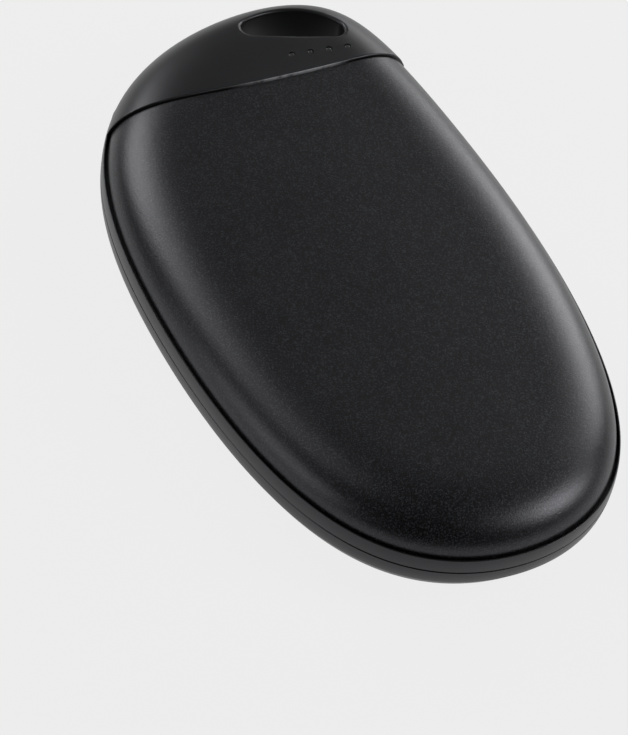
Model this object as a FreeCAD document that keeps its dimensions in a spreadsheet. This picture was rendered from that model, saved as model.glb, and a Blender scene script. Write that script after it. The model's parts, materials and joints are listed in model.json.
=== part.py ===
"""Rechargeable hand warmer: two metal heat plates in a plastic rim with a lanyard cap.

The long axis is Y with the cap at +Y, X runs across and Z is up. The rear plate
rests on Z = 0 and the two plastic halves meet at the split plane.
"""
import FreeCAD, Part
import math
import os
import Sketcher
from FreeCAD import Placement, Rotation, Vector

# Driving dimensions in millimetres, angles in degrees
SIZES = {
    # Plan outline of the rim
    "body_length": 116.0,
    "body_width": 64.6,
    "width_fullness_share": 0.12,
    "length_fullness_share": 0.13,
    "taper_share": 0.012,
    "tip_shift": 10.8,
    # Plastic rim band, one half of it above and one below the split plane
    "band_height": 2.4,
    "split_bevel": 0.15,
    "band_lip": 0.45,
    "groove_width": 0.35,
    "rebate_depth": 0.9,
    # Metal heat plates
    "plate_wall": 1.0,
    "dome_height": 5.75,
    "shoulder_width": 13.0,
    # Plastic cap
    "cap_step": 0.35,
    "cap_recess": 0.35,
    "cap_wall": 2.4,
    "cap_shoulder_width": 14.5,
    "cap_length": 20.7,
    "seam_bow": 1.7,
    "seam_gap": 0.12,
    "ledge_reach": 2.6,
    "ledge_side_gap": 19.0,
    "ledge_wall": 1.4,
    "bond_thickness": 0.25,
    "bond_width": 1.3,
    "bond_play": 0.05,
    # Lanyard hole
    "hole_length": 16.8,
    "hole_width": 7.2,
    "hole_end_radius": 2.2,
    "hole_share": 0.1935,
    "hole_tip_gap": 8.8,
    "hole_turn": -17.0,
    "hole_wall": 1.6,
    # Heaters, foam and cell
    "film_thickness": 0.25,
    "film_inset": 15.6,
    "film_end_gap": 5.0,
    "cell_side_gap": 11.3,
    "cell_near_gap": 21.0,
    "cell_thickness": 8.0,
    "cell_far_gap": 31.0,
    "cell_corner": 3.0,
    "cell_edge": 1.2,
    "foam_margin": 3.0,
    "foam_corner": 4.0,
    "tab_width": 6.0,
    "tab_spacing": 20.0,
    "tab_length": 4.5,
    "tab_thickness": 0.2,
    "guard_length": 30.0,
    "guard_width": 3.5,
    "guard_gap": 2.0,
    "guard_thickness": 0.8,
    # Main board
    "board_thickness": 1.0,
    "board_inset": 4.8,
    "board_tip_gap": 24.4,
    "board_hole_gap": 0.5,
    "post_diameter": 4.2,
    "left_post_share": -0.1378,
    "left_post_tip_gap": 17.1,
    "right_post_share": 0.0387,
    "right_post_tip_gap": 13.6,
    "screw_diameter": 1.6,
    "screw_head_diameter": 3.0,
    "screw_head_height": 0.9,
    "screw_socket_diameter": 1.3,
    "screw_socket_depth": 0.5,
    "screw_play": 0.1,
    "thread_play": 0.02,
    "screw_end_gap": 0.3,
    "boss_diameter": 4.6,
    "boss_inset": 3.6,
    "side_boss_angle": 12.0,
    "near_boss_angle": 50.0,
    # Charging port
    "port_angle": 119.0,
    "port_width": 8.94,
    "port_height": 3.26,
    "port_depth": 7.4,
    "port_wall": 0.3,
    "port_setback": 0.6,
    "port_play": 0.25,
    "tongue_width": 6.7,
    "tongue_thickness": 0.7,
    "tongue_setback": 1.0,
    # Power button and its switch
    "button_angle": 133.0,
    "button_width": 7.0,
    "button_height": 3.6,
    "button_proud": 0.4,
    "button_round": 0.3,
    "button_play": 0.25,
    "flange_rim": 0.7,
    "flange_height": 2.8,
    "flange_thickness": 0.8,
    "flange_gap": 0.7,
    "switch_width": 6.0,
    "switch_height": 3.2,
    "switch_depth": 3.6,
    "switch_gap": 1.4,
    "plunger_width": 2.4,
    "plunger_height": 1.4,
    "plunger_grip": 1.2,
    "plunger_play": 0.2,
    "press_room": 0.8,
    # Status lights
    "led_pitch": 3.25,
    "led_count": 4,
    "led_share": 0.2129,
    "led_tip_gap": 16.75,
    "led_turn": -3.7,
    "led_length": 1.6,
    "led_width": 0.8,
    "led_height": 0.6,
    "pin_diameter": 1.0,
    "pin_play": 0.05,
    "pin_shy": 0.05,
    "pipe_width": 1.6,
    "pipe_margin": 0.5,
    "pipe_thickness": 1.6,
    "pipe_leg_diameter": 1.2,
    "pipe_gap": 0.1,
    # Parts soldered on the board
    "charger_side": 5.0,
    "charger_height": 0.9,
    "charger_share": -0.1471,
    "charger_tip_gap": 21.6,
    "controller_side": 4.0,
    "controller_height": 0.8,
    "controller_share": 0.031,
    "controller_tip_gap": 17.4,
    "coil_side": 6.0,
    "coil_height": 3.0,
    "coil_corner": 1.2,
    "coil_share": -0.0542,
    "coil_tip_gap": 16.7,
    "chip_length": 2.0,
    "chip_width": 1.25,
    "chip_height": 1.1,
    "chip_pitch_share": 0.0464,
    "chip_count": 4,
    "chip_share": 0.1471,
    "chip_tip_gap": 22.0,
    "plug_length": 7.0,
    "plug_width": 3.6,
    "plug_height": 3.6,
    "plug_share": -0.031,
    "plug_gap": 0.8,
    "lead_diameter": 1.2,
    "lead_pitch": 2.0,
    # Heater tails and temperature bead
    "tail_width": 4.0,
    "tail_thickness": 0.2,
    "tail_share": 0.0774,
    "tail_overlap": 3.0,
    "tail_board_gap": 0.3,
    "bead_length": 2.0,
    "bead_width": 1.2,
    "bead_height": 0.8,
    "bead_share": -0.1548,
    "bead_end_gap": 1.6,
    # Room that cutting forms run past the faces that they cut
    "overrun": 1.0,
}

# Shape exponents of the rounded shoulders and the number of curve points and levels
PLATE_PLAN_POWER = 2.8
PLATE_RISE_POWER = 2.1
CAP_PLAN_POWER = 3.2
CAP_RISE_POWER = 2.4
OUTLINE_POINTS = 28
SHOULDER_STEPS = 7
CURVE_STEPS = 500
TANGENT_STEP = 1e-4
UPRIGHT_SHARE = 0.5
UP = Vector(0, 0, 1)
FRONT = 1
REAR = -1

doc = FreeCAD.newDocument("hand_warmer")
sheet = doc.addObject("Spreadsheet::Sheet", "sizes")
for row, (alias, value) in enumerate(SIZES.items(), start=1):
    sheet.set(f"A{row}", alias.replace("_", " "))
    sheet.set(f"B{row}", str(value))
    sheet.setAlias(f"B{row}", alias)
doc.recompute()

pieces = []


def size(alias):
    """Value of one driving dimension, read from the sheet."""
    return float(sheet.get(alias))


def from_tip(alias):
    """Place along the body of something that keeps a named gap to the cap's tip."""
    return size("body_length") / 2 - size(alias)


def sideways(alias):
    """Place across the body, kept at a named share of its width."""
    return size("body_width") * size(alias)


def bind(feature, **expressions):
    """Tie properties of a feature to sheet expressions."""
    for name, expression in expressions.items():
        feature.setExpression(name, expression)
    return feature


def named(feature, label):
    """Give a finished piece its name and list it for export."""
    feature.Label = label
    pieces.append(feature)
    return feature


# Levels of the stack, all worked out from the sheet
split_level = size("band_height") + size("dome_height")
plate_inset = size("band_lip") + size("groove_width")
rebate_floor = size("band_height") - size("rebate_depth")
plate_foot = rebate_floor + size("bond_thickness")
cell_bottom = split_level - size("cell_thickness") / 2
film_top = size("plate_wall") + size("film_thickness")
board_top = split_level - size("port_height") / 2
board_bottom = board_top - size("board_thickness")
front_cap_rise = split_level + size("cap_step")
rear_cap_rise = split_level - size("cap_recess")


def outline_point(angle, inset, level=0.0):
    """Point of the rim: a full ellipse whose far tip leans towards +X."""
    across = math.cos(angle)
    along = math.sin(angle)
    half_width = size("body_width") / 2 - inset
    half_length = size("body_length") / 2 - inset
    fullness = (1 + size("width_fullness_share") * along**2) * (1 + size("taper_share") * along)
    x = half_width * across * fullness + size("tip_shift") * max(0.0, along) ** 3
    y = half_length * along * (1 + size("length_fullness_share") * across**2)
    return Vector(x, y, level)


def outline_frame(alias):
    """Rim point at a named angle with its outward normal, both at the split plane."""
    angle = math.radians(size(alias))
    ahead = outline_point(angle + TANGENT_STEP, 0.0)
    behind = outline_point(angle - TANGENT_STEP, 0.0)
    tangent = (ahead - behind).normalize()
    return outline_point(angle, 0.0, split_level), Vector(tangent.y, -tangent.x, 0)


def flank_placement(alias, depth):
    """Placement on the cap's flank, local Z outward, X level, a given depth inside the rim."""
    point, normal = outline_frame(alias)
    level = UP.cross(normal)
    return Placement(point - normal * depth, Rotation(level, UP, normal, "ZXY"))


def outline_wire(inset, level):
    """Closed smooth wire of the rim outline at one inset and height."""
    start = -math.pi / 2
    turns = [start + 2 * math.pi * index / OUTLINE_POINTS for index in range(OUTLINE_POINTS)]
    curve = Part.BSplineCurve()
    curve.interpolate(Points=[outline_point(turn, inset, level) for turn in turns], PeriodicFlag=True)
    return Part.Wire(curve.toShape())


def wire_feature(name, wire):
    """Document feature that holds one section wire."""
    feature = doc.addObject("Part::Feature", name)
    feature.Shape = wire
    return feature


def prism(name, wire, height):
    """Upright prism on a closed level wire."""
    feature = doc.addObject("Part::Extrusion", name)
    feature.Base = wire_feature(f"{name}_section", wire)
    feature.DirMode = "Custom"
    feature.Dir = UP
    feature.LengthFwd = height
    feature.Solid = True
    return feature


def loft(name, levels, ruled=False):
    """Solid through rim outlines given as pairs of inset and height, smooth or straight between them."""
    feature = doc.addObject("Part::Loft", name)
    feature.Sections = [
        wire_feature(f"{name}_level_{index}", outline_wire(inset, level))
        for index, (inset, level) in enumerate(levels)
    ]
    feature.Solid = True
    feature.Ruled = ruled
    return feature


def cut(name, base, tool):
    """Base with a tool taken away."""
    feature = doc.addObject("Part::Cut", name)
    feature.Base = base
    feature.Tool = tool
    return feature


def common(name, base, tool):
    """What base and tool share."""
    feature = doc.addObject("Part::Common", name)
    feature.Base = base
    feature.Tool = tool
    return feature


def fuse(name, shapes):
    """One solid from touching or overlapping solids."""
    feature = doc.addObject("Part::MultiFuse", name)
    feature.Shapes = shapes
    return feature


def group(name, shapes):
    """Separate solids kept together as one piece."""
    feature = doc.addObject("Part::Compound", name)
    feature.Links = shapes
    return feature


def block(name, length, width, height, centre):
    """Box on a base centre; its sides are sheet expressions."""
    feature = bind(doc.addObject("Part::Box", name), Length=length, Width=width, Height=height)
    doc.recompute()
    corner = Vector(feature.Length.Value / 2, feature.Width.Value / 2, 0)
    feature.Placement = Placement(centre - corner, Rotation())
    return feature


def cylinder(name, diameter, height, base):
    """Upright cylinder; the diameter is a sheet expression, the height a worked-out level difference."""
    feature = bind(doc.addObject("Part::Cylinder", name), Radius=f"({diameter}) / 2")
    feature.Height = height
    feature.Placement = Placement(base, Rotation())
    return feature


def shoulder(base_inset, base_level, width, rise, powers):
    """Levels of a rounded shoulder, a superellipse upright at the rim and flat at the top.

    The levels lie at equal distances along the curve, so that a smooth loft through them doesn't swing.
    """
    plan_power, rise_power = powers
    curve = []
    for step in range(CURVE_STEPS + 1):
        angle = math.pi / 2 * step / CURVE_STEPS
        inset = base_inset + width * (1 - abs(math.cos(angle)) ** (2 / plan_power))
        curve.append((inset, base_level + rise * math.sin(angle) ** (2 / rise_power)))
    runs = [0.0]
    for start, end in zip(curve, curve[1:]):
        runs.append(runs[-1] + math.dist(start, end))
    wanted = [runs[-1] * step / SHOULDER_STEPS for step in range(SHOULDER_STEPS + 1)]
    return [min(zip(runs, curve), key=lambda entry: abs(entry[0] - place))[1] for place in wanted]


def at_side(levels, side):
    """Heights above the split plane turned into heights in the part, for the front or the rear."""
    return [(inset, split_level + side * level) for inset, level in levels]


def span(side, near, far):
    """Lower and upper height in the part of two heights above the split plane."""
    return sorted((split_level + side * near, split_level + side * far))


def seam_wire(shift, level, far):
    """Plan area between the seam, an arc moved along the body by shift, and a line far from it."""
    reach = size("body_width") / 2 + size("overrun")
    bow = size("seam_bow") * (reach / (size("body_width") / 2)) ** 2
    start = from_tip("cap_length") + shift
    left = Vector(-reach, start + bow, level)
    right = Vector(reach, start + bow, level)
    right_far = Vector(reach, far, level)
    left_far = Vector(-reach, far, level)
    edges = [Part.Arc(left, Vector(0, start, level), right).toShape()]
    for ends in ((right, right_far), (right_far, left_far), (left_far, left)):
        edges.append(Part.LineSegment(*ends).toShape())
    return Part.Wire(edges)


def beyond_seam(name, shift):
    """Everything on the cap's side of the seam."""
    height = 2 * split_level + 2 * size("overrun")
    return prism(name, seam_wire(shift, -size("overrun"), size("body_length")), height)


def before_seam(name, side, near, far):
    """Everything on the plate's side of the seam between two heights above the split plane."""
    low, high = span(side, near, far)
    return prism(name, seam_wire(0.0, low, -size("body_length")), high - low)


# Plate forms


def plate_levels(depth):
    """Levels of a heat plate's form, a given depth below its outer face."""
    rise = split_level - plate_foot - depth
    powers = (PLATE_PLAN_POWER, PLATE_RISE_POWER)
    return shoulder(plate_inset + depth, plate_foot, size("shoulder_width"), rise, powers)


def plate(label, side):
    """Pressed metal heat plate: a shallow dish cut off square at the seam."""
    outer = loft(f"{label}_outside", at_side(plate_levels(0.0), side), ruled=True)
    inner = loft(f"{label}_inside", at_side(plate_levels(size("plate_wall")), side), ruled=True)
    dish = cut(f"{label}_dish", outer, inner)
    return named(cut(f"{label}_trim", dish, beyond_seam(f"{label}_seam", -size("seam_gap"))), label)


def bond_ring(label, side):
    """Soft strip that seats the plate's edge in the rebate of the band."""
    low, high = sorted((split_level + side * rebate_floor, split_level + side * plate_foot))
    edge = plate_inset - size("bond_play")
    outer = prism(f"{label}_outside", outline_wire(edge, low), high - low)
    inner = prism(f"{label}_inside", outline_wire(edge + size("bond_width"), low), high - low)
    strip = cut(f"{label}_strip", outer, inner)
    return named(cut(f"{label}_trim", strip, beyond_seam(f"{label}_seam", -size("ledge_reach"))), label)


# Lanyard hole


def hole_placement():
    """Where the hole lies in the plan, turned to follow the slanting tip."""
    place = Vector(sideways("hole_share"), from_tip("hole_tip_gap"), -size("overrun"))
    return Placement(place, Rotation(UP, size("hole_turn")))


def hole_form(name):
    """D-shaped prism through both halves: straight near side, arched far side, rounded ends."""
    half = size("hole_length") / 2
    depth = size("hole_width") / 2
    near_left = Vector(-half, -depth, 0)
    near_right = Vector(half, -depth, 0)
    left = Vector(-half, 0, 0)
    right = Vector(half, 0, 0)
    sides = [
        Part.LineSegment(near_left, near_right).toShape(),
        Part.LineSegment(near_right, right).toShape(),
        Part.Arc(right, Vector(0, depth, 0), left).toShape(),
        Part.LineSegment(left, near_left).toShape(),
    ]
    height = 2 * split_level + 2 * size("overrun")
    sharp = Part.Face(Part.Wire(sides)).extrude(UP * height)
    upright = [edge for edge in sharp.Edges if abs(edge.tangentAt(edge.FirstParameter).z) > UPRIGHT_SHARE]
    feature = doc.addObject("Part::Feature", name)
    feature.Shape = sharp.makeFillet(size("hole_end_radius"), upright)
    feature.Placement = hole_placement()
    return feature


def near_side_of_hole(name, gap):
    """Large slab on the body's side of the hole, ending a gap before its near edge."""
    reach = size("body_length")
    feature = doc.addObject("Part::Box", name)
    feature.Length = 2 * reach
    feature.Width = reach
    feature.Height = 2 * split_level + 2 * size("overrun")
    corner = Vector(-reach, -size("hole_width") / 2 - gap - reach, 0)
    feature.Placement = hole_placement().multiply(Placement(corner, Rotation()))
    return feature


# Slots on the flank of the cap


def slot_sketch(body, name, length, height):
    """Sketch of a slot with round ends; length and height are sheet expressions."""
    sketch = body.newObject("Sketcher::SketchObject", name)
    plane = next(part for part in body.Origin.OriginFeatures if part.Role == "XY_Plane")
    sketch.AttachmentSupport = [(plane, "")]
    sketch.MapMode = "FlatFace"
    radius = size("overrun")
    reach = 2 * radius
    left = Part.Circle(Vector(-reach, 0, 0), UP, radius)
    right = Part.Circle(Vector(reach, 0, 0), UP, radius)
    sketch.addGeometry(Part.ArcOfCircle(left, math.pi / 2, 3 * math.pi / 2))
    sketch.addGeometry(Part.ArcOfCircle(right, -math.pi / 2, math.pi / 2))
    sketch.addGeometry(Part.LineSegment(Vector(-reach, -radius, 0), Vector(reach, -radius, 0)))
    sketch.addGeometry(Part.LineSegment(Vector(reach, radius, 0), Vector(-reach, radius, 0)))
    sketch.addConstraint(Sketcher.Constraint("Tangent", 0, 2, 2, 1))
    sketch.addConstraint(Sketcher.Constraint("Tangent", 2, 2, 1, 1))
    sketch.addConstraint(Sketcher.Constraint("Tangent", 1, 2, 3, 1))
    sketch.addConstraint(Sketcher.Constraint("Tangent", 3, 2, 0, 1))
    sketch.addConstraint(Sketcher.Constraint("Symmetric", 0, 3, 1, 3, -1, 1))
    sketch.addConstraint(Sketcher.Constraint("Horizontal", 2))
    sketch.addConstraint(Sketcher.Constraint("Equal", 0, 1))
    spread = sketch.addConstraint(Sketcher.Constraint("DistanceX", 0, 3, 1, 3, 2 * reach))
    round_end = sketch.addConstraint(Sketcher.Constraint("Radius", 0, radius))
    sketch.renameConstraint(spread, "spread")
    sketch.renameConstraint(round_end, "round_end")
    sketch.setExpression("Constraints.spread", f"({length}) - ({height})")
    sketch.setExpression("Constraints.round_end", f"({height}) / 2")
    return sketch


def pad(body, name, sketch, length, reverse=False):
    """Pad of a sketch by a sheet expression."""
    feature = body.newObject("PartDesign::Pad", name)
    feature.Profile = sketch
    feature.Reversed = reverse
    feature.setExpression("Length", length)
    return feature


def slot_cutter(name, alias, length, height, depth):
    """Slot-shaped form that opens the cap at a named place on the flank, to a given depth."""
    body = doc.addObject("PartDesign::Body", name)
    sketch = slot_sketch(body, f"{name}_sketch", length, height)
    opening = pad(body, f"{name}_pad", sketch, f"{depth} + sizes.overrun")
    doc.recompute()
    body.Placement = flank_placement(alias, opening.Length.Value - size("overrun"))
    return body


# Housing halves


def boss_places(level):
    """Centres of the four screw bosses on the ring, at one height."""
    side = math.radians(size("side_boss_angle"))
    near = -math.radians(size("near_boss_angle"))
    turns = (side, math.pi - side, near, math.pi - near)
    return [outline_point(turn, size("boss_inset"), level) for turn in turns]


def post_places(level):
    """Centres of the two posts that carry the main board, at one height."""
    return [
        Vector(sideways(f"{side}_post_share"), from_tip(f"{side}_post_tip_gap"), level)
        for side in ("left", "right")
    ]


def led_places(level):
    """Centres of the status lights in their slanting row, at one height."""
    turn = math.radians(size("led_turn"))
    count = int(size("led_count"))
    row = Vector(math.cos(turn), math.sin(turn), 0) * size("led_pitch")
    centre = Vector(sideways("led_share"), from_tip("led_tip_gap"), level)
    return [centre + row * (index - (count - 1) / 2) for index in range(count)]


def crown_levels(cap_rise):
    """Levels of the cap's outer face, from the bevel at the split plane to the top."""
    bevel = size("split_bevel")
    powers = (CAP_PLAN_POWER, CAP_RISE_POWER)
    return shoulder(0.0, bevel, size("cap_shoulder_width"), cap_rise - bevel, powers)


def housing_form(label, side, cap_rise):
    """One half before holes and bosses: the cap's dome, cut down to a band where the plate lies."""
    bevel = size("split_bevel")
    crown = loft(f"{label}_crown", at_side(crown_levels(cap_rise), side))
    foot = loft(f"{label}_foot", at_side([(bevel, 0.0), (0.0, bevel)], side), ruled=True)
    whole = fuse(f"{label}_block", [crown, foot])
    clear = cap_rise + size("overrun")
    above_band = before_seam(f"{label}_above_band", side, size("band_height"), clear)
    seat_side = before_seam(f"{label}_seat_side", side, rebate_floor, clear)
    low, high = span(side, rebate_floor, clear)
    seat_plan = prism(f"{label}_seat_plan", outline_wire(size("band_lip"), low), high - low)
    seat = common(f"{label}_seat", seat_plan, seat_side)
    banded = cut(f"{label}_banded", cut(f"{label}_topped", whole, above_band), seat)
    wall = size("cap_wall")
    powers = (CAP_PLAN_POWER, CAP_RISE_POWER)
    room = shoulder(wall, 0.0, size("cap_shoulder_width"), cap_rise - wall, powers)
    hollow = loft(f"{label}_room", at_side([(wall, -size("overrun"))] + room, side))
    stop = near_side_of_hole(f"{label}_room_stop", size("hole_wall"))
    return cut(f"{label}_hollow", banded, common(f"{label}_room_end", hollow, stop))


def ledge(label, side):
    """Cross-bar under the seam, rooted in the cap, that carries the cut end of the heat plate."""
    top = split_level - size("plate_wall") - size("bond_thickness")
    low = min(split_level + side * top, split_level + side * (top - size("ledge_wall")))
    place = Vector(0, from_tip("cap_length"), low)
    length = "sizes.body_width - 2 * sizes.ledge_side_gap"
    return block(f"{label}_ledge", length, "2 * sizes.ledge_reach", "sizes.ledge_wall", place)


def flank_openings(label):
    """Openings for the port and the button, half of each in either housing."""
    port_play = "2 * sizes.port_play"
    button_play = "2 * sizes.button_play"
    port = slot_cutter(
        f"{label}_port_slot",
        "port_angle",
        f"sizes.port_width + {port_play}",
        f"sizes.port_height + {port_play}",
        "sizes.port_setback + sizes.port_depth + sizes.port_play",
    )
    button = slot_cutter(
        f"{label}_button_slot",
        "button_angle",
        f"sizes.button_width + {button_play}",
        f"sizes.button_height + {button_play}",
        "sizes.cap_wall + sizes.overrun",
    )
    return [port, button]


def boss_set(label, side, bore):
    """Four bored screw bosses on the inside of the ring; the bore is a sheet expression."""
    low = min(split_level, split_level + side * rebate_floor)
    bosses = []
    for index, place in enumerate(boss_places(low)):
        boss = cylinder(f"{label}_boss_{index}", "sizes.boss_diameter", rebate_floor, place)
        hole = cylinder(f"{label}_boss_hole_{index}", bore, rebate_floor, place)
        bosses.append(cut(f"{label}_boss_tube_{index}", boss, hole))
    return bosses


def bore_set(label, places, diameter, height):
    """Round holes at a row of places."""
    return [cylinder(f"{label}_{index}", diameter, height, place) for index, place in enumerate(places)]


def front_housing():
    """Front half: cap with the four light holes, pilot holes for the screws."""
    label = "front_housing"
    form = housing_form(label, FRONT, front_cap_rise)
    pilot = "sizes.screw_diameter + 2 * sizes.thread_play"
    whole = fuse(f"{label}_whole", [form, ledge(label, FRONT)] + boss_set(label, FRONT, pilot))
    tools = [hole_form(f"{label}_lanyard_hole")] + flank_openings(label)
    top_run = split_level + size("overrun")
    light_play = "sizes.pin_diameter + 2 * sizes.pin_play"
    tools += bore_set(f"{label}_light_hole", led_places(split_level), light_play, top_run)
    named(cut(f"{label}_cut", whole, fuse(f"{label}_tools", tools)), label)


def rear_housing():
    """Rear half: board posts inside the cap, clearance holes for the screws."""
    label = "rear_housing"
    form = housing_form(label, REAR, rear_cap_rise)
    post_foot = size("cap_recess") + size("cap_wall") / 2
    posts = [
        cylinder(f"{label}_post_{index}", "sizes.post_diameter", board_bottom - post_foot, place)
        for index, place in enumerate(post_places(post_foot))
    ]
    bore = "sizes.screw_diameter + 2 * sizes.screw_play"
    whole = fuse(f"{label}_whole", [form, ledge(label, REAR)] + boss_set(label, REAR, bore) + posts)
    tools = [hole_form(f"{label}_lanyard_hole")] + flank_openings(label)
    pilot_foot = board_bottom - board_screw_reach()
    pilot = "sizes.screw_diameter + 2 * sizes.thread_play"
    tools += bore_set(f"{label}_pilot", post_places(pilot_foot), pilot, board_top - pilot_foot)
    named(cut(f"{label}_cut", whole, fuse(f"{label}_tools", tools)), label)


# Fasteners


def board_screw_reach():
    """How deep the pilot holes of the board screws go below the board."""
    return (board_bottom - size("cap_recess") - size("cap_wall")) / 2 + size("cap_wall") / 2


def screw(name, place, reach, turn):
    """Pan-head screw on its seat: the shank runs the given reach, turn points it up or down."""
    shank = cylinder(f"{name}_shank", "sizes.screw_diameter", reach, Vector(0, 0, 0))
    head = cylinder(f"{name}_head", "sizes.screw_head_diameter", size("screw_head_height"), Vector(0, 0, 0))
    head.Placement = Placement(Vector(0, 0, -size("screw_head_height")), Rotation())
    socket = cylinder(
        f"{name}_socket", "sizes.screw_socket_diameter", size("screw_socket_depth"), Vector(0, 0, 0)
    )
    socket.Placement = Placement(Vector(0, 0, -size("screw_head_height")), Rotation())
    form = cut(f"{name}_form", fuse(f"{name}_whole", [shank, head]), socket)
    form.Placement = Placement(place, Rotation(Vector(1, 0, 0), turn))
    return form


def screws():
    """Four screws that close the housing from the rear and two that hold the board."""
    seat = split_level - rebate_floor
    reach = 2 * rebate_floor - size("screw_end_gap")
    closing = [
        screw(f"closing_screw_{index}", place, reach, 0) for index, place in enumerate(boss_places(seat))
    ]
    named(group("housing_screw_set", closing), "housing_screws")
    reach = size("board_thickness") + board_screw_reach() - size("screw_end_gap")
    holding = [
        screw(f"holding_screw_{index}", place, reach, 180)
        for index, place in enumerate(post_places(board_top))
    ]
    named(group("board_screw_set", holding), "board_screws")


# Heaters, foam and cell


def heater_film(label, side):
    """Etched-foil heater bonded to the flat inside of a plate."""
    inner_face = split_level - size("plate_wall")
    low = min(split_level + side * inner_face, split_level + side * (inner_face - size("film_thickness")))
    sheet_form = prism(f"{label}_sheet", outline_wire(size("film_inset"), low), size("film_thickness"))
    seam = beyond_seam(f"{label}_seam", -size("film_end_gap"))
    return named(cut(f"{label}_trim", sheet_form, seam), label)


def rounded_slab(name, length, width, thickness, corner, edge=None):
    """Slab with rounded corners and, where asked, rounded edges; all sheet expressions."""
    body = doc.addObject("PartDesign::Body", name)
    sketch = body.newObject("Sketcher::SketchObject", f"{name}_sketch")
    plane = next(part for part in body.Origin.OriginFeatures if part.Role == "XY_Plane")
    sketch.AttachmentSupport = [(plane, "")]
    sketch.MapMode = "FlatFace"
    reach = size("overrun")
    signs = ((-1, -1), (1, -1), (1, 1), (-1, 1))
    corners = [Vector(across * reach, along * reach, 0) for across, along in signs]
    for index in range(4):
        sketch.addGeometry(Part.LineSegment(corners[index], corners[(index + 1) % 4]))
    for index in range(4):
        sketch.addConstraint(Sketcher.Constraint("Coincident", index, 2, (index + 1) % 4, 1))
    for index in range(4):
        sketch.addConstraint(Sketcher.Constraint("Horizontal" if index % 2 == 0 else "Vertical", index))
    sketch.addConstraint(Sketcher.Constraint("Symmetric", 0, 1, 1, 2, -1, 1))
    across = sketch.addConstraint(Sketcher.Constraint("DistanceX", 0, 1, 0, 2, 2 * reach))
    along = sketch.addConstraint(Sketcher.Constraint("DistanceY", 1, 1, 1, 2, 2 * reach))
    sketch.renameConstraint(across, "across")
    sketch.renameConstraint(along, "along")
    sketch.setExpression("Constraints.across", width)
    sketch.setExpression("Constraints.along", length)
    slab = pad(body, f"{name}_pad", sketch, thickness)
    doc.recompute()
    upright = [
        f"Edge{index}"
        for index, edge in enumerate(slab.Shape.Edges, start=1)
        if abs(edge.tangentAt(edge.FirstParameter).z) > UPRIGHT_SHARE
    ]
    round_corners = body.newObject("PartDesign::Fillet", f"{name}_corners")
    round_corners.Base = (slab, upright)
    round_corners.setExpression("Radius", corner)
    if edge:
        doc.recompute()
        level = [
            f"Edge{index}"
            for index, rim in enumerate(round_corners.Shape.Edges, start=1)
            if abs(rim.tangentAt(rim.FirstParameter).z) < UPRIGHT_SHARE
        ]
        round_edges = body.newObject("PartDesign::Fillet", f"{name}_edges")
        round_edges.Base = (round_corners, level)
        round_edges.setExpression("Radius", edge)
    return body


def cell_pack():
    """Pouch cell between two foam pads, with its tabs, guard board and leads."""
    far_end = from_tip("cell_far_gap")
    near_end = size("cell_near_gap") - size("body_length") / 2
    middle = (far_end + near_end) / 2
    cell_length = "sizes.body_length - sizes.cell_far_gap - sizes.cell_near_gap"
    cell_width = "sizes.body_width - 2 * sizes.cell_side_gap"
    cell = rounded_slab(
        "cell_form",
        cell_length,
        cell_width,
        "sizes.cell_thickness",
        "sizes.cell_corner",
        "sizes.cell_edge",
    )
    cell.Placement = Placement(Vector(0, middle, cell_bottom), Rotation())
    named(cell, "battery_cell")
    half_room = "sizes.band_height + sizes.dome_height - sizes.cell_thickness / 2"
    foam_room = f"{half_room} - sizes.plate_wall - sizes.film_thickness"
    front_foam_level = cell_bottom + size("cell_thickness")
    for label, level in (("rear_foam_pad", film_top), ("front_foam_pad", front_foam_level)):
        foam = rounded_slab(
            f"{label}_form",
            f"{cell_length} - 2 * sizes.foam_margin",
            f"{cell_width} - 4 * sizes.foam_margin",
            foam_room,
            "sizes.foam_corner",
        )
        foam.Placement = Placement(Vector(0, middle, level), Rotation())
        named(foam, label)
    tab_level = split_level - size("tab_thickness")
    tab_middle = far_end + size("tab_length") / 2
    half = size("tab_spacing") / 2
    tabs = [
        block(
            f"cell_tab_{index}",
            "sizes.tab_width",
            "sizes.tab_length",
            "sizes.tab_thickness",
            Vector(offset, tab_middle, tab_level),
        )
        for index, offset in enumerate((-half, half))
    ]
    named(group("cell_tab_set", tabs), "cell_tabs")
    guard_start = far_end + size("guard_gap")
    guard_place = Vector(0, guard_start + size("guard_width") / 2, split_level)
    sides = ("sizes.guard_length", "sizes.guard_width", "sizes.guard_thickness")
    guard = block("guard_form", *sides, guard_place)
    named(guard, "protection_board")
    plug_start = from_tip("board_tip_gap") + size("plug_gap")
    plug_place = Vector(sideways("plug_share"), plug_start + size("plug_width") / 2, board_top)
    plug = block("plug_form", "sizes.plug_length", "sizes.plug_width", "sizes.plug_height", plug_place)
    named(plug, "battery_connector")
    lead_start = guard_start + size("guard_width")
    lead_level = split_level + size("guard_thickness") / 2
    leads = []
    for index, offset in enumerate((-size("lead_pitch") / 2, size("lead_pitch") / 2)):
        place = Vector(sideways("plug_share") + offset, lead_start, lead_level)
        lead = cylinder(f"battery_lead_{index}", "sizes.lead_diameter", plug_start - lead_start, place)
        lead.Placement = Placement(place, Rotation(UP, Vector(0, 1, 0)))
        leads.append(lead)
    named(group("battery_lead_set", leads), "battery_leads")


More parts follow.
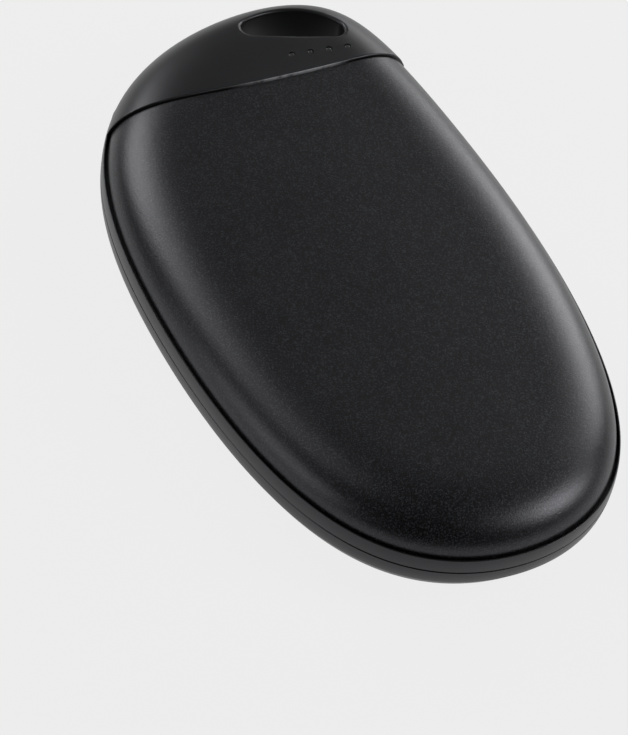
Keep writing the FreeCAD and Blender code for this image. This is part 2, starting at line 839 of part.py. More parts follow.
def heater_tail(label, side):
    """Flat tail from a heater film, along the film, across to the board and onto it."""
    thick = size("tail_thickness")
    film_face = split_level + side * (split_level - film_top)
    board_face = board_top if side == FRONT else board_bottom
    film_start = from_tip("cap_length") - size("film_end_gap") - size("tail_overlap")
    drop = from_tip("board_tip_gap") - size("tail_board_gap")
    board_end = drop + size("tail_overlap")
    inward = -side * thick
    outward = side * thick
    points = [
        (film_start, film_face),
        (drop, film_face),
        (drop, board_face + outward),
        (board_end, board_face + outward),
        (board_end, board_face),
        (drop - thick, board_face),
        (drop - thick, film_face + inward),
        (film_start, film_face + inward),
    ]
    corner = sideways("tail_share") - size("tail_width") / 2
    ring = [Vector(corner, along, level) for along, level in points]
    feature = doc.addObject("Part::Extrusion", f"{label}_form")
    feature.Base = wire_feature(f"{label}_section", Part.makePolygon(ring + ring[:1]))
    feature.DirMode = "Custom"
    feature.Dir = Vector(1, 0, 0)
    feature.setExpression("LengthFwd", "sizes.tail_width")
    feature.Solid = True
    return named(feature, label)


# Main board and what is soldered to it


def main_board():
    """Board in the cap: follows the cap's inside, stops before the lanyard hole."""
    label = "main_board"
    plan = prism(f"{label}_plan", outline_wire(size("board_inset"), board_bottom), size("board_thickness"))
    stop = near_side_of_hole(f"{label}_stop", size("hole_wall") + size("board_hole_gap"))
    part = common(f"{label}_end", plan, stop)
    reach = size("body_length")
    near = doc.addObject("Part::Box", f"{label}_near")
    near.Length = reach
    near.Width = reach
    near.Height = 2 * split_level
    near.Placement = Placement(Vector(-reach / 2, from_tip("board_tip_gap") - reach, 0), Rotation())
    trimmed = cut(f"{label}_trim", part, near)
    bore = "sizes.screw_diameter + 2 * sizes.screw_play"
    bores = bore_set(
        f"{label}_bore",
        post_places(board_bottom - size("overrun")),
        bore,
        size("board_thickness") + 2 * size("overrun"),
    )
    named(cut(f"{label}_cut", trimmed, fuse(f"{label}_bores", bores)), label)


def board_parts():
    """Chips, coil, capacitors and the temperature bead."""
    side = "sizes.charger_side"
    place = Vector(sideways("charger_share"), from_tip("charger_tip_gap"), board_top)
    named(block("charger_form", side, side, "sizes.charger_height", place), "charge_controller")
    side = "sizes.controller_side"
    place = Vector(sideways("controller_share"), from_tip("controller_tip_gap"), board_top)
    named(block("controller_form", side, side, "sizes.controller_height", place), "microcontroller")
    side = "sizes.coil_side"
    coil = rounded_slab("coil_form", side, side, "sizes.coil_height", "sizes.coil_corner")
    place = Vector(sideways("coil_share"), from_tip("coil_tip_gap"), board_top)
    coil.Placement = Placement(place, Rotation())
    named(coil, "power_inductor")
    chips = []
    sides = ("sizes.chip_width", "sizes.chip_length", "sizes.chip_height")
    for index in range(int(size("chip_count"))):
        across = sideways("chip_share") + index * sideways("chip_pitch_share")
        place = Vector(across, from_tip("chip_tip_gap"), board_top)
        chips.append(block(f"chip_{index}", *sides, place))
    named(group("chip_set", chips), "board_capacitors")
    bead_along = from_tip("cap_length") - size("film_end_gap") - size("bead_end_gap")
    place = Vector(sideways("bead_share"), bead_along, film_top)
    sides = ("sizes.bead_length", "sizes.bead_width", "sizes.bead_height")
    named(block("bead_form", *sides, place), "thermistor")


def status_lights():
    """Four lights on the board and the clear pipe that carries their light to the cap."""
    lights = []
    sides = ("sizes.led_length", "sizes.led_width", "sizes.led_height")
    for index, place in enumerate(led_places(board_top)):
        lights.append(block(f"light_{index}", *sides, place))
    named(group("light_set", lights), "status_leds")
    bar_level = board_top + size("led_height") + size("pipe_gap")
    centre = Vector(sideways("led_share"), from_tip("led_tip_gap"), bar_level)
    length = "sizes.led_pitch * (sizes.led_count - 1) + sizes.pin_diameter + 2 * sizes.pipe_margin"
    bar = block("pipe_bar", length, "sizes.pipe_width", "sizes.pipe_thickness", centre)
    turn = Rotation(UP, size("led_turn"))
    back = turn.multVec(Vector(0, (size("pin_diameter") - size("pipe_width")) / 2, 0))
    half = Vector(bar.Length.Value / 2, bar.Width.Value / 2, 0)
    bar.Placement = Placement(centre + back - turn.multVec(half), turn)
    leg_offset = turn.multVec(Vector(size("led_pitch") * (size("led_count") / 2 - 1), 0, 0))
    foot = Vector(centre.x, centre.y, board_top) + back
    leg_height = bar_level - board_top + size("pipe_thickness") / 2
    legs = [
        cylinder(f"pipe_leg_{index}", "sizes.pipe_leg_diameter", leg_height, place)
        for index, place in enumerate((foot - leg_offset, foot + leg_offset))
    ]
    pin_height = split_level + front_cap_rise + size("overrun") - bar_level
    pins = [
        cylinder(f"pipe_pin_{index}", "sizes.pin_diameter", pin_height, place)
        for index, place in enumerate(led_places(bar_level))
    ]
    below_face = loft("pipe_below_face", at_side(crown_levels(front_cap_rise - size("pin_shy")), FRONT))
    flush = common("pipe_pins_flush", group("pipe_pins", pins), below_face)
    named(fuse("pipe_form", [bar] + legs + [flush]), "light_pipe")


def charging_port():
    """Socket shell, a thin tube closed at the back, and the contact tongue inside it."""
    back = size("port_setback") + size("port_depth")
    shell = doc.addObject("PartDesign::Body", "port_shell_form")
    outer = slot_sketch(shell, "port_outer", "sizes.port_width", "sizes.port_height")
    pad(shell, "port_pad", outer, "sizes.port_depth")
    shell.Placement = flank_placement("port_angle", back)
    room = doc.addObject("PartDesign::Body", "port_room_form")
    wall = "2 * sizes.port_wall"
    inner = slot_sketch(room, "port_inner", f"sizes.port_width - {wall}", f"sizes.port_height - {wall}")
    pad(room, "port_room_pad", inner, "sizes.port_depth")
    room.Placement = flank_placement("port_angle", back - size("port_wall"))
    named(cut("port_shell_cut", shell, room), "usb_port_shell")
    length = "sizes.port_depth - sizes.port_wall - sizes.tongue_setback"
    tongue = block("tongue_form", "sizes.tongue_width", "sizes.tongue_thickness", length, Vector(0, 0, 0))
    half = Vector(tongue.Length.Value / 2, tongue.Width.Value / 2, 0)
    place = flank_placement("port_angle", back - size("port_wall"))
    tongue.Placement = place.multiply(Placement(-half, Rotation()))
    named(tongue, "usb_port_tongue")


def power_switch():
    """Button in the flank, the switch behind it and the plunger that joins them."""
    flange_back = size("cap_wall") + size("flange_gap") + size("flange_thickness")
    button = doc.addObject("PartDesign::Body", "button_form")
    width = "sizes.button_width + 2 * sizes.flange_rim"
    flange = slot_sketch(button, "button_flange", width, "sizes.flange_height")
    pad(button, "button_flange_pad", flange, "sizes.flange_thickness")
    crown = slot_sketch(button, "button_crown", "sizes.button_width", "sizes.button_height")
    reach = "sizes.cap_wall + sizes.flange_gap + sizes.flange_thickness + sizes.button_proud"
    top = pad(button, "button_crown_pad", crown, reach)
    doc.recompute()
    highest = top.Shape.BoundBox.ZMax
    rim_edges = [
        f"Edge{index}"
        for index, edge in enumerate(top.Shape.Edges, start=1)
        if edge.BoundBox.ZMin > highest - size("button_round")
    ]
    soft_rim = button.newObject("PartDesign::Fillet", "button_soft_rim")
    soft_rim.Base = (top, rim_edges)
    soft_rim.setExpression("Radius", "sizes.button_round")
    button.Placement = flank_placement("button_angle", flange_back)
    named(button, "power_button")
    face = flange_back + size("switch_gap")
    sides = ("sizes.switch_width", "sizes.switch_height", "sizes.switch_depth")
    body = block("switch_block", *sides, Vector(0, 0, 0))
    half = Vector(body.Length.Value / 2, body.Width.Value / 2, 0)
    lift = Vector(0, board_top + size("switch_height") / 2 - split_level, 0)
    back = flank_placement("button_angle", face + size("switch_depth"))
    body.Placement = back.multiply(Placement(lift - half, Rotation()))
    play = "2 * sizes.plunger_play"
    depth = "sizes.plunger_grip + sizes.press_room + sizes.overrun"
    width = f"sizes.plunger_width + {play}"
    room = block("switch_room", width, f"sizes.plunger_height + {play}", depth, Vector(0, 0, 0))
    half = Vector(room.Length.Value / 2, room.Width.Value / 2, 0)
    inside = flank_placement("button_angle", face + size("plunger_grip") + size("press_room"))
    room.Placement = inside.multiply(Placement(-half, Rotation()))
    named(cut("switch_cut", body, room), "switch_body")
    depth = "sizes.plunger_grip + sizes.switch_gap"
    plunger = block("plunger_form", "sizes.plunger_width", "sizes.plunger_height", depth, Vector(0, 0, 0))
    half = Vector(plunger.Length.Value / 2, plunger.Width.Value / 2, 0)
    inside = flank_placement("button_angle", face + size("plunger_grip"))
    plunger.Placement = inside.multiply(Placement(-half, Rotation()))
    named(plunger, "switch_plunger")


def check_document():
    """Stop if any feature failed or any piece is empty or not a sound solid."""
    for feature in doc.Objects:
        if "Invalid" in feature.State or "Error" in feature.State:
            raise RuntimeError(f"feature failed: {feature.Name} {feature.State}")
    for piece in pieces:
        if piece.Shape.isNull() or not piece.Shape.isValid() or not piece.Shape.Solids:
            raise RuntimeError(f"piece is not a sound solid: {piece.Label}")


def main():
    """Build every piece, check the document and write one file a piece."""
    front_housing()
    rear_housing()
    plate("front_shell", FRONT)
    plate("rear_shell", REAR)
    bond_ring("front_bond_ring", FRONT)
    bond_ring("rear_bond_ring", REAR)
    heater_film("front_heater_film", FRONT)
    heater_film("rear_heater_film", REAR)
    heater_tail("front_heater_lead", FRONT)
    heater_tail("rear_heater_lead", REAR)
    cell_pack()
    main_board()
    board_parts()
    status_lights()
    charging_port()
    power_switch()
    screws()
    doc.recompute()
    check_document()
    os.makedirs("parts", exist_ok=True)
    for piece in pieces:
        piece.Shape.exportStep(f"parts/{piece.Label}.step")
        solids = len(piece.Shape.Solids)
        print(f"{piece.Label}: {solids} solid(s), {piece.Shape.Volume:.1f} cubic mm")
    for alias in ("button_angle", "port_angle"):
        point, normal = outline_frame(alias)
        print(f"{alias}: at {point} facing {normal}")


main()
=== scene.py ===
"""Looks of a palm-size rechargeable hand warmer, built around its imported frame.

The classes hold their sizes in millimetres in the part's frame: X across, Y along the
body with the cap at +Y, Z up from the surface that the rear plate rests on. Meshes are
written in metres.
"""
import json
import logging
import math
from dataclasses import dataclass, field
from enum import Enum
from typing import Any, Callable, ClassVar, NamedTuple, Optional, Sequence, Union

import bmesh
import bpy
import numpy as np
from mathutils import Matrix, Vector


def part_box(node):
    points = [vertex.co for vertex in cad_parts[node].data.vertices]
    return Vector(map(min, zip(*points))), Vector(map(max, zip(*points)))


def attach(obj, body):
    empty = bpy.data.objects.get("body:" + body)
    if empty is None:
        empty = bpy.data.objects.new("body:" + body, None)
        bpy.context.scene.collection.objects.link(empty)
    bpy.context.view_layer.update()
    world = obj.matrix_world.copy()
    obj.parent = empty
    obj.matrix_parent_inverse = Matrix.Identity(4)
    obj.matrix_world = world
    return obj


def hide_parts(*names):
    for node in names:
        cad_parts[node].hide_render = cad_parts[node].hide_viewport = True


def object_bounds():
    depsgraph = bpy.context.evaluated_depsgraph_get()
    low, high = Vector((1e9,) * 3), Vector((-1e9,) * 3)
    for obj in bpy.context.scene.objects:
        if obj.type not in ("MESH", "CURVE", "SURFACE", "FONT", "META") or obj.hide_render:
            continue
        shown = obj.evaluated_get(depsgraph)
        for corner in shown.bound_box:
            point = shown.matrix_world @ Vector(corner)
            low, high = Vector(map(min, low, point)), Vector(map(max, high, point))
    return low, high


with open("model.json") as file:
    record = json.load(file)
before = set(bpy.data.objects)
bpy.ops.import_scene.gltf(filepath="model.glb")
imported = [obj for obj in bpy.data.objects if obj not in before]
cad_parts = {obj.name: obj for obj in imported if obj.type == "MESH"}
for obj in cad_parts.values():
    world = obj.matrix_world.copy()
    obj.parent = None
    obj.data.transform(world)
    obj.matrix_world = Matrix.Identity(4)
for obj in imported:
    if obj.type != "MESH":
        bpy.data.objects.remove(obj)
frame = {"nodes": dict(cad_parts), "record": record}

CAD_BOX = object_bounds()
LOG = logging.getLogger("hand_warmer")
METRE = 1000.0
BISECTIONS = 44
NEWTON_STEPS = 7
MERGE_DISTANCE = 2e-6
SHARP_ANGLE = math.radians(38.0)
QUARTER = math.pi / 2
TURN = 2 * math.pi
SLOT_POINTS = 64
CUT_MARGIN = 1.0
NOISE_MEAN = 0.5
CASE = "body"
BUTTON = "button"

Array = np.ndarray
Pair = tuple[np.ndarray, np.ndarray]
Piece = bpy.types.Object
Material = bpy.types.Material
Triple = tuple[float, float, float]
Colour = tuple[float, float, float, float]
Edge = tuple[float, float]


class Side(Enum):
    """Which half of the warmer a piece belongs to."""

    FRONT = 1
    REAR = -1


class Pattern(Enum):
    """Procedural pattern that a finish varies with."""

    GRAIN = "grain"
    CELLS = "cells"
    BRUSHED = "brushed"
    TRACKS = "tracks"
    EMBOSSED = "embossed"


# Plan and profile


def last_true(test: Callable[[Array], Array], low: Array, high: Array) -> Array:
    """Last value of each range that passes a test, by halving it from a start that passes."""
    for _ in range(BISECTIONS):
        middle = (low + high) / 2
        passes = test(middle)
        low = np.where(passes, middle, low)
        high = np.where(passes, high, middle)
    return low


@dataclass(frozen=True)
class Outline:
    """Plan of the rim, a full ellipse whose far tip leans towards +X, and the seam across it."""

    width: float
    length: float
    width_fullness: float = 0.12
    length_fullness: float = 0.13
    taper: float = 0.012
    tip_shift: float = 10.8
    seam_distance: float = 37.3
    seam_bow: float = 1.7
    deepest_inset: float = 26.0

    def swell(self, along: Array) -> Array:
        """How much fuller than an ellipse the rim is at a sine of its angle."""
        return (1 + self.width_fullness * along**2) * (1 + self.taper * along)

    def lean(self, along: Array) -> Array:
        """How far the far half leans towards +X: by the cube of the sine."""
        return self.tip_shift * np.maximum(along, 0.0) ** 3

    def point(self, turn: Array, inset: Array) -> Pair:
        """Point of an inset rim: cosine and sine, each swelled by the square of the other."""
        across, along = np.cos(turn), np.sin(turn)
        x = (self.width / 2 - inset) * across * self.swell(along) + self.lean(along)
        y = (self.length / 2 - inset) * along * (1 + self.length_fullness * across**2)
        return x, y

    def frame(self, turn: float) -> Pair:
        """Rim point and outward unit normal at one angle, both level."""
        step = 1e-5
        x, y = self.point(np.array([turn - step, turn, turn + step]), np.zeros(3))
        normal = np.array([y[2] - y[0], x[0] - x[2], 0.0])
        return np.array([x[1], y[1], 0.0]), normal / np.linalg.norm(normal)

    def seam(self, x: Array) -> Array:
        """Y of the seam between cap and plate at an X: a shallow parabola."""
        return self.seam_distance + self.seam_bow * (x / (self.width / 2)) ** 2

    def crossing(self, inset: Array, shift: float, right: bool) -> Array:
        """Angle at which an inset rim meets the seam, sought from the tip down one flank.

        Args:
            inset: Insets of the rims.
            shift: How far the seam is moved along +Y.
            right: Whether the crossing on the +X flank is wanted.

        Returns:
            One angle for each inset.
        """
        sign = -1.0 if right else 1.0

        def beyond(step: Array) -> Array:
            """Whether the rim is beyond the seam, a step away from the tip."""
            x, y = self.point(QUARTER + sign * step, inset)
            return y > self.seam(x) + shift

        flank = np.full_like(inset, QUARTER)
        return QUARTER + sign * last_true(beyond, np.zeros_like(inset), flank)

    def sweep(self, inset: Array, shift: float, count: int) -> Pair:
        """Inset rims from the seam's right end, round the near end, to its left end."""
        right = self.crossing(inset, shift, True)[:, None]
        left = self.crossing(inset, shift, False)[:, None] - TURN
        return self.point(right + (left - right) * np.linspace(0, 1, count), inset[:, None])

    def holds(self, x: Array, y: Array, inset: Array) -> Array:
        """Whether an inset rim goes round a point, from the sine at its Y and the width there.

        Args:
            x: X of the points.
            y: Y of the points.
            inset: Insets of the rims.

        Returns:
            True for each point inside its rim.
        """
        share = y / (self.length / 2 - inset)
        fits = np.abs(share) <= 1
        share = np.clip(share, -1, 1)
        along = share
        for _ in range(NEWTON_STEPS):
            value = along * (1 + self.length_fullness * (1 - along**2)) - share
            along = along - value / (1 + self.length_fullness - 3 * self.length_fullness * along**2)
        along = np.clip(along, -1, 1)
        half = (self.width / 2 - inset) * np.sqrt(1 - along**2) * self.swell(along)
        return fits & (np.abs(x - self.lean(along)) <= half)

    def inset_at(self, x: Array, y: Array) -> Array:
        """Inset of the rim that passes through each point, zero outside the outermost rim."""
        deepest = np.full_like(x, self.deepest_inset)
        return last_true(lambda inset: self.holds(x, y, inset), np.zeros_like(x), deepest)


@dataclass(frozen=True)
class Shoulder:
    """Rounded shoulder of a dish: a superellipse, upright at the rim and level at the top."""

    inset: float
    level: float
    width: float
    rise: float
    plan_power: float
    rise_power: float

    def at(self, angle: Array) -> Pair:
        """Inset and level at an angle of the superellipse, zero at the rim."""
        inset = self.inset + self.width * (1 - np.abs(np.cos(angle)) ** (2 / self.plan_power))
        return inset, self.level + self.rise * np.sin(angle) ** (2 / self.rise_power)

    def height(self, inset: Array) -> Array:
        """Level at an inset, from the superellipse's own equation."""
        share = np.clip(1 - (inset - self.inset) / self.width, 0.0, 1.0)
        return self.level + self.rise * (1 - share**self.plan_power) ** (1 / self.rise_power)

    def inset_of(self, level: Array) -> Array:
        """Inset at a level, from the superellipse's own equation."""
        share = np.clip((level - self.level) / self.rise, 0.0, 1.0)
        return self.inset + self.width * (1 - (1 - share**self.rise_power) ** (1 / self.plan_power))


# Meshes


def metres(x: Array, y: Array, z: Array) -> Array:
    """Stack three arrays of millimetres into points in metres."""
    return np.stack(np.broadcast_arrays(x, y, z), axis=-1) / METRE


class Surface:
    """Grids and end faces gathered into one mesh."""

    def __init__(self) -> None:
        """Start with no points and no faces."""
        self.points: list[Array] = []
        self.faces: list[list[int]] = []
        self.count = 0

    def grid(self, points: Array, ring_rows: bool = False, ring_columns: bool = False) -> Array:
        """Add a grid of four-sided faces.

        Args:
            points: Rows by columns by three, in metres.
            ring_rows: Whether the last row joins the first.
            ring_columns: Whether the last column joins the first.

        Returns:
            The index of every grid point in the mesh.
        """
        rows, columns = points.shape[:2]
        index = np.arange(rows * columns).reshape(rows, columns) + self.count
        self.points.append(points.reshape(-1, 3))
        self.count += rows * columns
        ring = np.vstack([index, index[:1]]) if ring_rows else index
        ring = np.hstack([ring, ring[:, :1]]) if ring_columns else ring
        corners = [ring[:-1, :-1], ring[:-1, 1:], ring[1:, 1:], ring[1:, :-1]]
        self.faces.extend(np.stack(corners, axis=-1).reshape(-1, 4).tolist())
        return index

    def face(self, loop: Array) -> None:
        """Add one flat end face on a loop of point indices."""
        self.faces.append(loop.tolist())

    def tube(self, points: Array) -> None:
        """Add closed loops as a tube with a flat face at both ends."""
        index = self.grid(points, ring_columns=True)
        self.face(index[0])
        self.face(index[-1])

    def piece(self, name: str, outward: bool = True) -> Piece:
        """Make the object, with doubled points merged and smooth faces.

        Args:
            name: Name of the object and its mesh.
            outward: Whether the mesh is closed, so that its faces can be turned outwards.

        Returns:
            The new object, linked to the scene, at the origin.
        """
        mesh = bpy.data.meshes.new(name)
        mesh.from_pydata(np.concatenate(self.points), [], self.faces)
        draft = bmesh.new()
        draft.from_mesh(mesh)
        bmesh.ops.remove_doubles(draft, verts=draft.verts, dist=MERGE_DISTANCE)
        bmesh.ops.dissolve_degenerate(draft, edges=draft.edges, dist=MERGE_DISTANCE / 2)
        if outward:
            bmesh.ops.recalc_face_normals(draft, faces=draft.faces)
        draft.to_mesh(mesh)
        draft.free()
        smooth(mesh)
        made = bpy.data.objects.new(name, mesh)
        bpy.context.scene.collection.objects.link(made)
        return made


def smooth(mesh: bpy.types.Mesh) -> None:
    """Shade a mesh smooth, with edges past the sharp angle left crisp."""
    mesh.polygons.foreach_set("use_smooth", np.ones(len(mesh.polygons), dtype=bool))
    mesh.set_sharp_from_angle(angle=SHARP_ANGLE)
    mesh.update()


def carve(piece: Piece, cutter: Piece, operation: str = "DIFFERENCE") -> None:
    """Cut a piece by another, or join them, and delete the other.

    Args:
        piece: Closed piece that is changed.
        cutter: Closed piece that is used up.
        operation: Name of the boolean operation.
    """
    change = piece.modifiers.new("carve", "BOOLEAN")
    change.operation = operation
    change.solver = "EXACT"
    change.object = cutter
    bpy.context.view_layer.update()
    graph = bpy.context.evaluated_depsgraph_get()
    final = bpy.data.meshes.new_from_object(piece.evaluated_get(graph))
    piece.modifiers.clear()
    final.name = piece.name
    piece.data = final
    smooth(final)
    bpy.data.objects.remove(cutter)


def slot_loop(length: Array, height: Array, count: int) -> Pair:
    """Loops of a slot with round ends: circles of half the height, pulled apart to the length."""
    angle = np.linspace(0, TURN, count, endpoint=False) + math.pi / count
    radius = height[:, None] / 2
    spread = length[:, None] / 2 - radius
    return radius * np.cos(angle) + spread * np.sign(np.cos(angle)), radius * np.sin(angle)


def rolled_rim(
    length: float, height: float, crest: float, soft: float, angle: Array
) -> list[Triple]:
    """Slot loops up to a crest: drawn in by an angle's cosine and raised by its sine."""
    drawn = 2 * soft * (1 - np.cos(angle))
    return list(zip(length - drawn, height - drawn, crest - soft + soft * np.sin(angle)))


@dataclass(frozen=True)
class Flank:
    """Place on the cap's flank with axes along the rim, up and outward."""

    origin: Array
    normal: Array
    bend: float = 0.0

    def world(self, along: Array, up: Array, out: Array) -> Array:
        """Points in metres from distances along the rim, up and outward."""
        level = np.array([-self.normal[1], self.normal[0], 0.0])
        out = out - self.bend * along**2 / 2
        x = self.origin[0] + along * level[0] + out * self.normal[0]
        y = self.origin[1] + along * level[1] + out * self.normal[1]
        return metres(x, y, self.origin[2] + up)

    def tube(self, rows: Sequence[Triple], name: str) -> Piece:
        """Closed piece through slot loops, each a length, a height and an outward place."""
        length, height, out = np.array(rows).T
        along, up = slot_loop(length, height, SLOT_POINTS)
        surface = Surface()
        surface.tube(self.world(along, up, out[:, None]))
        return surface.piece(name)


# Shader nodes


Input = Union["Value", float, int, tuple, None]


class Value:
    """Socket of a node tree that takes part in Python arithmetic."""

    def __init__(self, shader: "Shader", socket: bpy.types.NodeSocket) -> None:
        """Keep the socket and the tree that it belongs to."""
        self.shader = shader
        self.socket = socket

    def __add__(self, other: Input) -> "Value":
        """Sum with a number or another value."""
        return self.shader.maths("ADD", self, other)

    def __sub__(self, other: Input) -> "Value":
        """Difference from a number or another value."""
        return self.shader.maths("SUBTRACT", self, other)

    def __rsub__(self, other: Input) -> "Value":
        """A number less this value."""
        return self.shader.maths("SUBTRACT", other, self)

    def __mul__(self, other: Input) -> "Value":
        """Product with a number or another value."""
        return self.shader.maths("MULTIPLY", self, other)

    __radd__ = __add__
    __rmul__ = __mul__

    def above(self, edge: float, blur: float) -> "Value":
        """Smooth step from 0 to 1 about an edge, over a blur on either side."""
        settings = {"interpolation_type": "SMOOTHSTEP"}
        inputs = {"Value": self, "From Min": edge - blur, "From Max": edge + blur}
        return self.shader.node("ShaderNodeMapRange", settings, inputs)("Result")


class Noise(NamedTuple):
    """Noise with features of 1 / scale metres, its octaves and their weight."""

    scale: float
    detail: float = 2.0
    roughness: float = 0.5


class Shader:
    """Node tree of a material or of the world, written as expressions."""

    def __init__(self, owner: Union[Material, bpy.types.World]) -> None:
        """Clear the tree of a material or a world and keep it."""
        owner.use_nodes = True
        self.tree = owner.node_tree
        self.tree.nodes.clear()

    def node(
        self, kind: str, settings: Optional[dict[str, Any]] = None, inputs: Optional[dict] = None
    ) -> Callable[..., Value]:
        """Add a node: its settings are set first, then the values or links of its sockets.

        Args:
            kind: Type name of the node.
            settings: Properties of the node.
            inputs: Values or links by socket name or number.

        Returns:
            A function that gives an output, by name or number, as a Value.
        """
        made = self.tree.nodes.new(kind)
        for name, setting in (settings or {}).items():
            setattr(made, name, setting)
        for name, value in (inputs or {}).items():
            if isinstance(value, Value):
                self.tree.links.new(value.socket, made.inputs[name])
            elif value is not None:
                made.inputs[name].default_value = value
        return lambda name=0: Value(self, made.outputs[name])

    def maths(self, operation: str, first: Input, second: Input) -> Value:
        """One Math node on two values or numbers."""
        return self.node("ShaderNodeMath", {"operation": operation}, {0: first, 1: second})()

    def mix(self, share: Input, first: Input, second: Input) -> Value:
        """Colour between two colours, by a share from 0 to 1."""
        inputs = {"Factor": share, 6: first, 7: second}
        return self.node("ShaderNodeMix", {"data_type": "RGBA"}, inputs)(2)

    def place(self, turn: float = 0.0, stretch: Triple = (1.0, 1.0, 1.0)) -> Value:
        """The piece's own coordinates, turned about Z and stretched."""
        coordinates = self.node("ShaderNodeTexCoord")("Object")
        inputs = {"Vector": coordinates, "Rotation": (0.0, 0.0, turn), "Scale": stretch}
        return self.node("ShaderNodeMapping", None, inputs)()

    def noise(self, place: Value, kind: Noise) -> Value:
        """Noise of one kind, from 0 to 1."""
        inputs = {"Vector": place, "Scale": kind.scale, "Detail": kind.detail}
        inputs["Roughness"] = kind.roughness
        return self.node("ShaderNodeTexNoise", None, inputs)("Fac")

    def bump(self, height: Value, strength: float, depth: float) -> Value:
        """Normal of a relief of the given depth in metres."""
        inputs = {"Strength": strength, "Distance": depth, "Height": height}
        return self.node("ShaderNodeBump", None, inputs)("Normal")

    def surface(self, shader: Value) -> None:
        """Link a shader to the material's output."""
        self.node("ShaderNodeOutputMaterial", None, {"Surface": shader})


def grey(level: float, cool: float = 0.0) -> Colour:
    """Opaque grey; a positive cool shifts it a little to blue."""
    return (level * (1 - cool), level * (1 - cool / 2), level * (1 + cool), 1.0)


@dataclass(frozen=True)
class Coating:
    """Named surface; each kind works out the sockets of its Principled node."""

    name: str

    def sockets(self, shader: Shader) -> dict[str, Input]:
        """Values and links of the node's sockets."""
        raise NotImplementedError

    def material(self) -> Material:
        """Procedural material of the coating."""
        made = bpy.data.materials.new(self.name)
        shader = Shader(made)
        shader.surface(shader.node("ShaderNodeBsdfPrincipled", None, self.sockets(shader))())
        return made


@dataclass(frozen=True)
class Finish(Coating):
    """Surface of a hidden or small piece: two tones and a relief that follow one pattern."""

    dark: Colour
    light: Colour
    pattern: Pattern = Pattern.GRAIN
    scale: float = 900.0
    roughness: tuple[float, float] = (0.4, 0.55)
    metallic: float = 0.0
    relief: float = 2e-5
    strength: float = 0.25
    transmission: float = 0.0
    cell_contrast: ClassVar[float] = 1.2
    brush_stretch: ClassVar[Triple] = (1.0, 0.06, 1.0)
    track_edge: ClassVar[Edge] = (0.45, 0.08)
    weave_turn: ClassVar[float] = math.radians(45.0)
    weave_share: ClassVar[float] = 0.5
    wrinkles: ClassVar[Noise] = Noise(300.0)
    brush_octaves: ClassVar[float] = 3.0
    grain_octaves: ClassVar[float] = 4.0
    octave_weight: ClassVar[float] = 0.6

    def pattern_value(self, shader: Shader) -> Value:
        """The pattern as a value from 0 to 1, on the piece's own coordinates.

        Args:
            shader: Tree that the nodes go into.

        Returns:
            The pattern's value.
        """
        place = shader.place()
        if self.pattern is Pattern.CELLS:
            cells = {"Vector": place, "Scale": self.scale}
            gap = shader.node("ShaderNodeTexVoronoi", None, cells)("Distance")
            return 1 - gap * self.cell_contrast
        if self.pattern is Pattern.BRUSHED:
            brushed = shader.place(stretch=self.brush_stretch)
            return shader.noise(brushed, Noise(self.scale, self.brush_octaves, self.octave_weight))
        if self.pattern is Pattern.TRACKS:
            wave = {"Vector": place, "Scale": self.scale, "Distortion": 0.0, "Detail": 0.0}
            tracks = shader.node("ShaderNodeTexWave", {"bands_direction": "X"}, wave)("Fac")
            return tracks.above(*self.track_edge)
        if self.pattern is Pattern.EMBOSSED:
            weave = {"Vector": shader.place(turn=self.weave_turn), "Scale": self.scale}
            checks = shader.node("ShaderNodeTexChecker", None, weave)("Fac")
            creases = shader.noise(place, self.wrinkles)
            return checks * self.weave_share + creases * (1 - self.weave_share)
        return shader.noise(place, Noise(self.scale, self.grain_octaves, self.octave_weight))

    def sockets(self, shader: Shader) -> dict[str, Input]:
        """Tone, roughness and relief, each between two limits by the pattern."""
        value = self.pattern_value(shader)
        low, high = self.roughness
        return {
            "Base Color": shader.mix(value, self.dark, self.light),
            "Roughness": low + value * (high - low),
            "Metallic": self.metallic,
            "Transmission Weight": self.transmission,
            "Normal": shader.bump(value, self.strength, self.relief),
        }


@dataclass(frozen=True)
class BlastedMetal(Coating):
    """Bead-blasted aluminium with a black anodised skin: matt grain and faint bright specks."""

    name: str = "blasted_black_metal"
    tone: Colour = grey(0.002, 0.08)
    speck_tone: Colour = grey(0.055, 0.08)
    gloss: Colour = (0.93, 0.93, 1.0, 1.0)
    grain: Noise = Noise(3000.0, 3.0, 0.65)
    specks: Noise = Noise(4200.0, 2.0, 0.6)
    mottle: Noise = Noise(70.0, 3.0, 0.5)
    speck_edge: Edge = (0.57, 0.09)
    speck_least: float = 0.35
    speck_spread: float = 0.5
    roughness: float = 0.36
    grain_spread: float = 0.16
    mottle_spread: float = 0.05
    relief: float = 3.0e-5
    strength: float = 0.8

    def sockets(self, shader: Shader) -> dict[str, Input]:
        """Specks in the tone, and a roughness and relief that follow the grain."""
        place = shader.place()
        grain = shader.noise(place, self.grain)
        specks = shader.noise(place, self.specks).above(*self.speck_edge)
        mottle = shader.noise(place, self.mottle) - NOISE_MEAN
        share = specks * (self.speck_least + self.speck_spread * grain)
        uneven = (grain - NOISE_MEAN) * self.grain_spread
        return {
            "Base Color": shader.mix(share, self.tone, self.speck_tone),
            "Roughness": self.roughness + uneven + mottle * self.mottle_spread,
            "Specular Tint": self.gloss,
            "Normal": shader.bump(grain, self.strength, self.relief),
        }


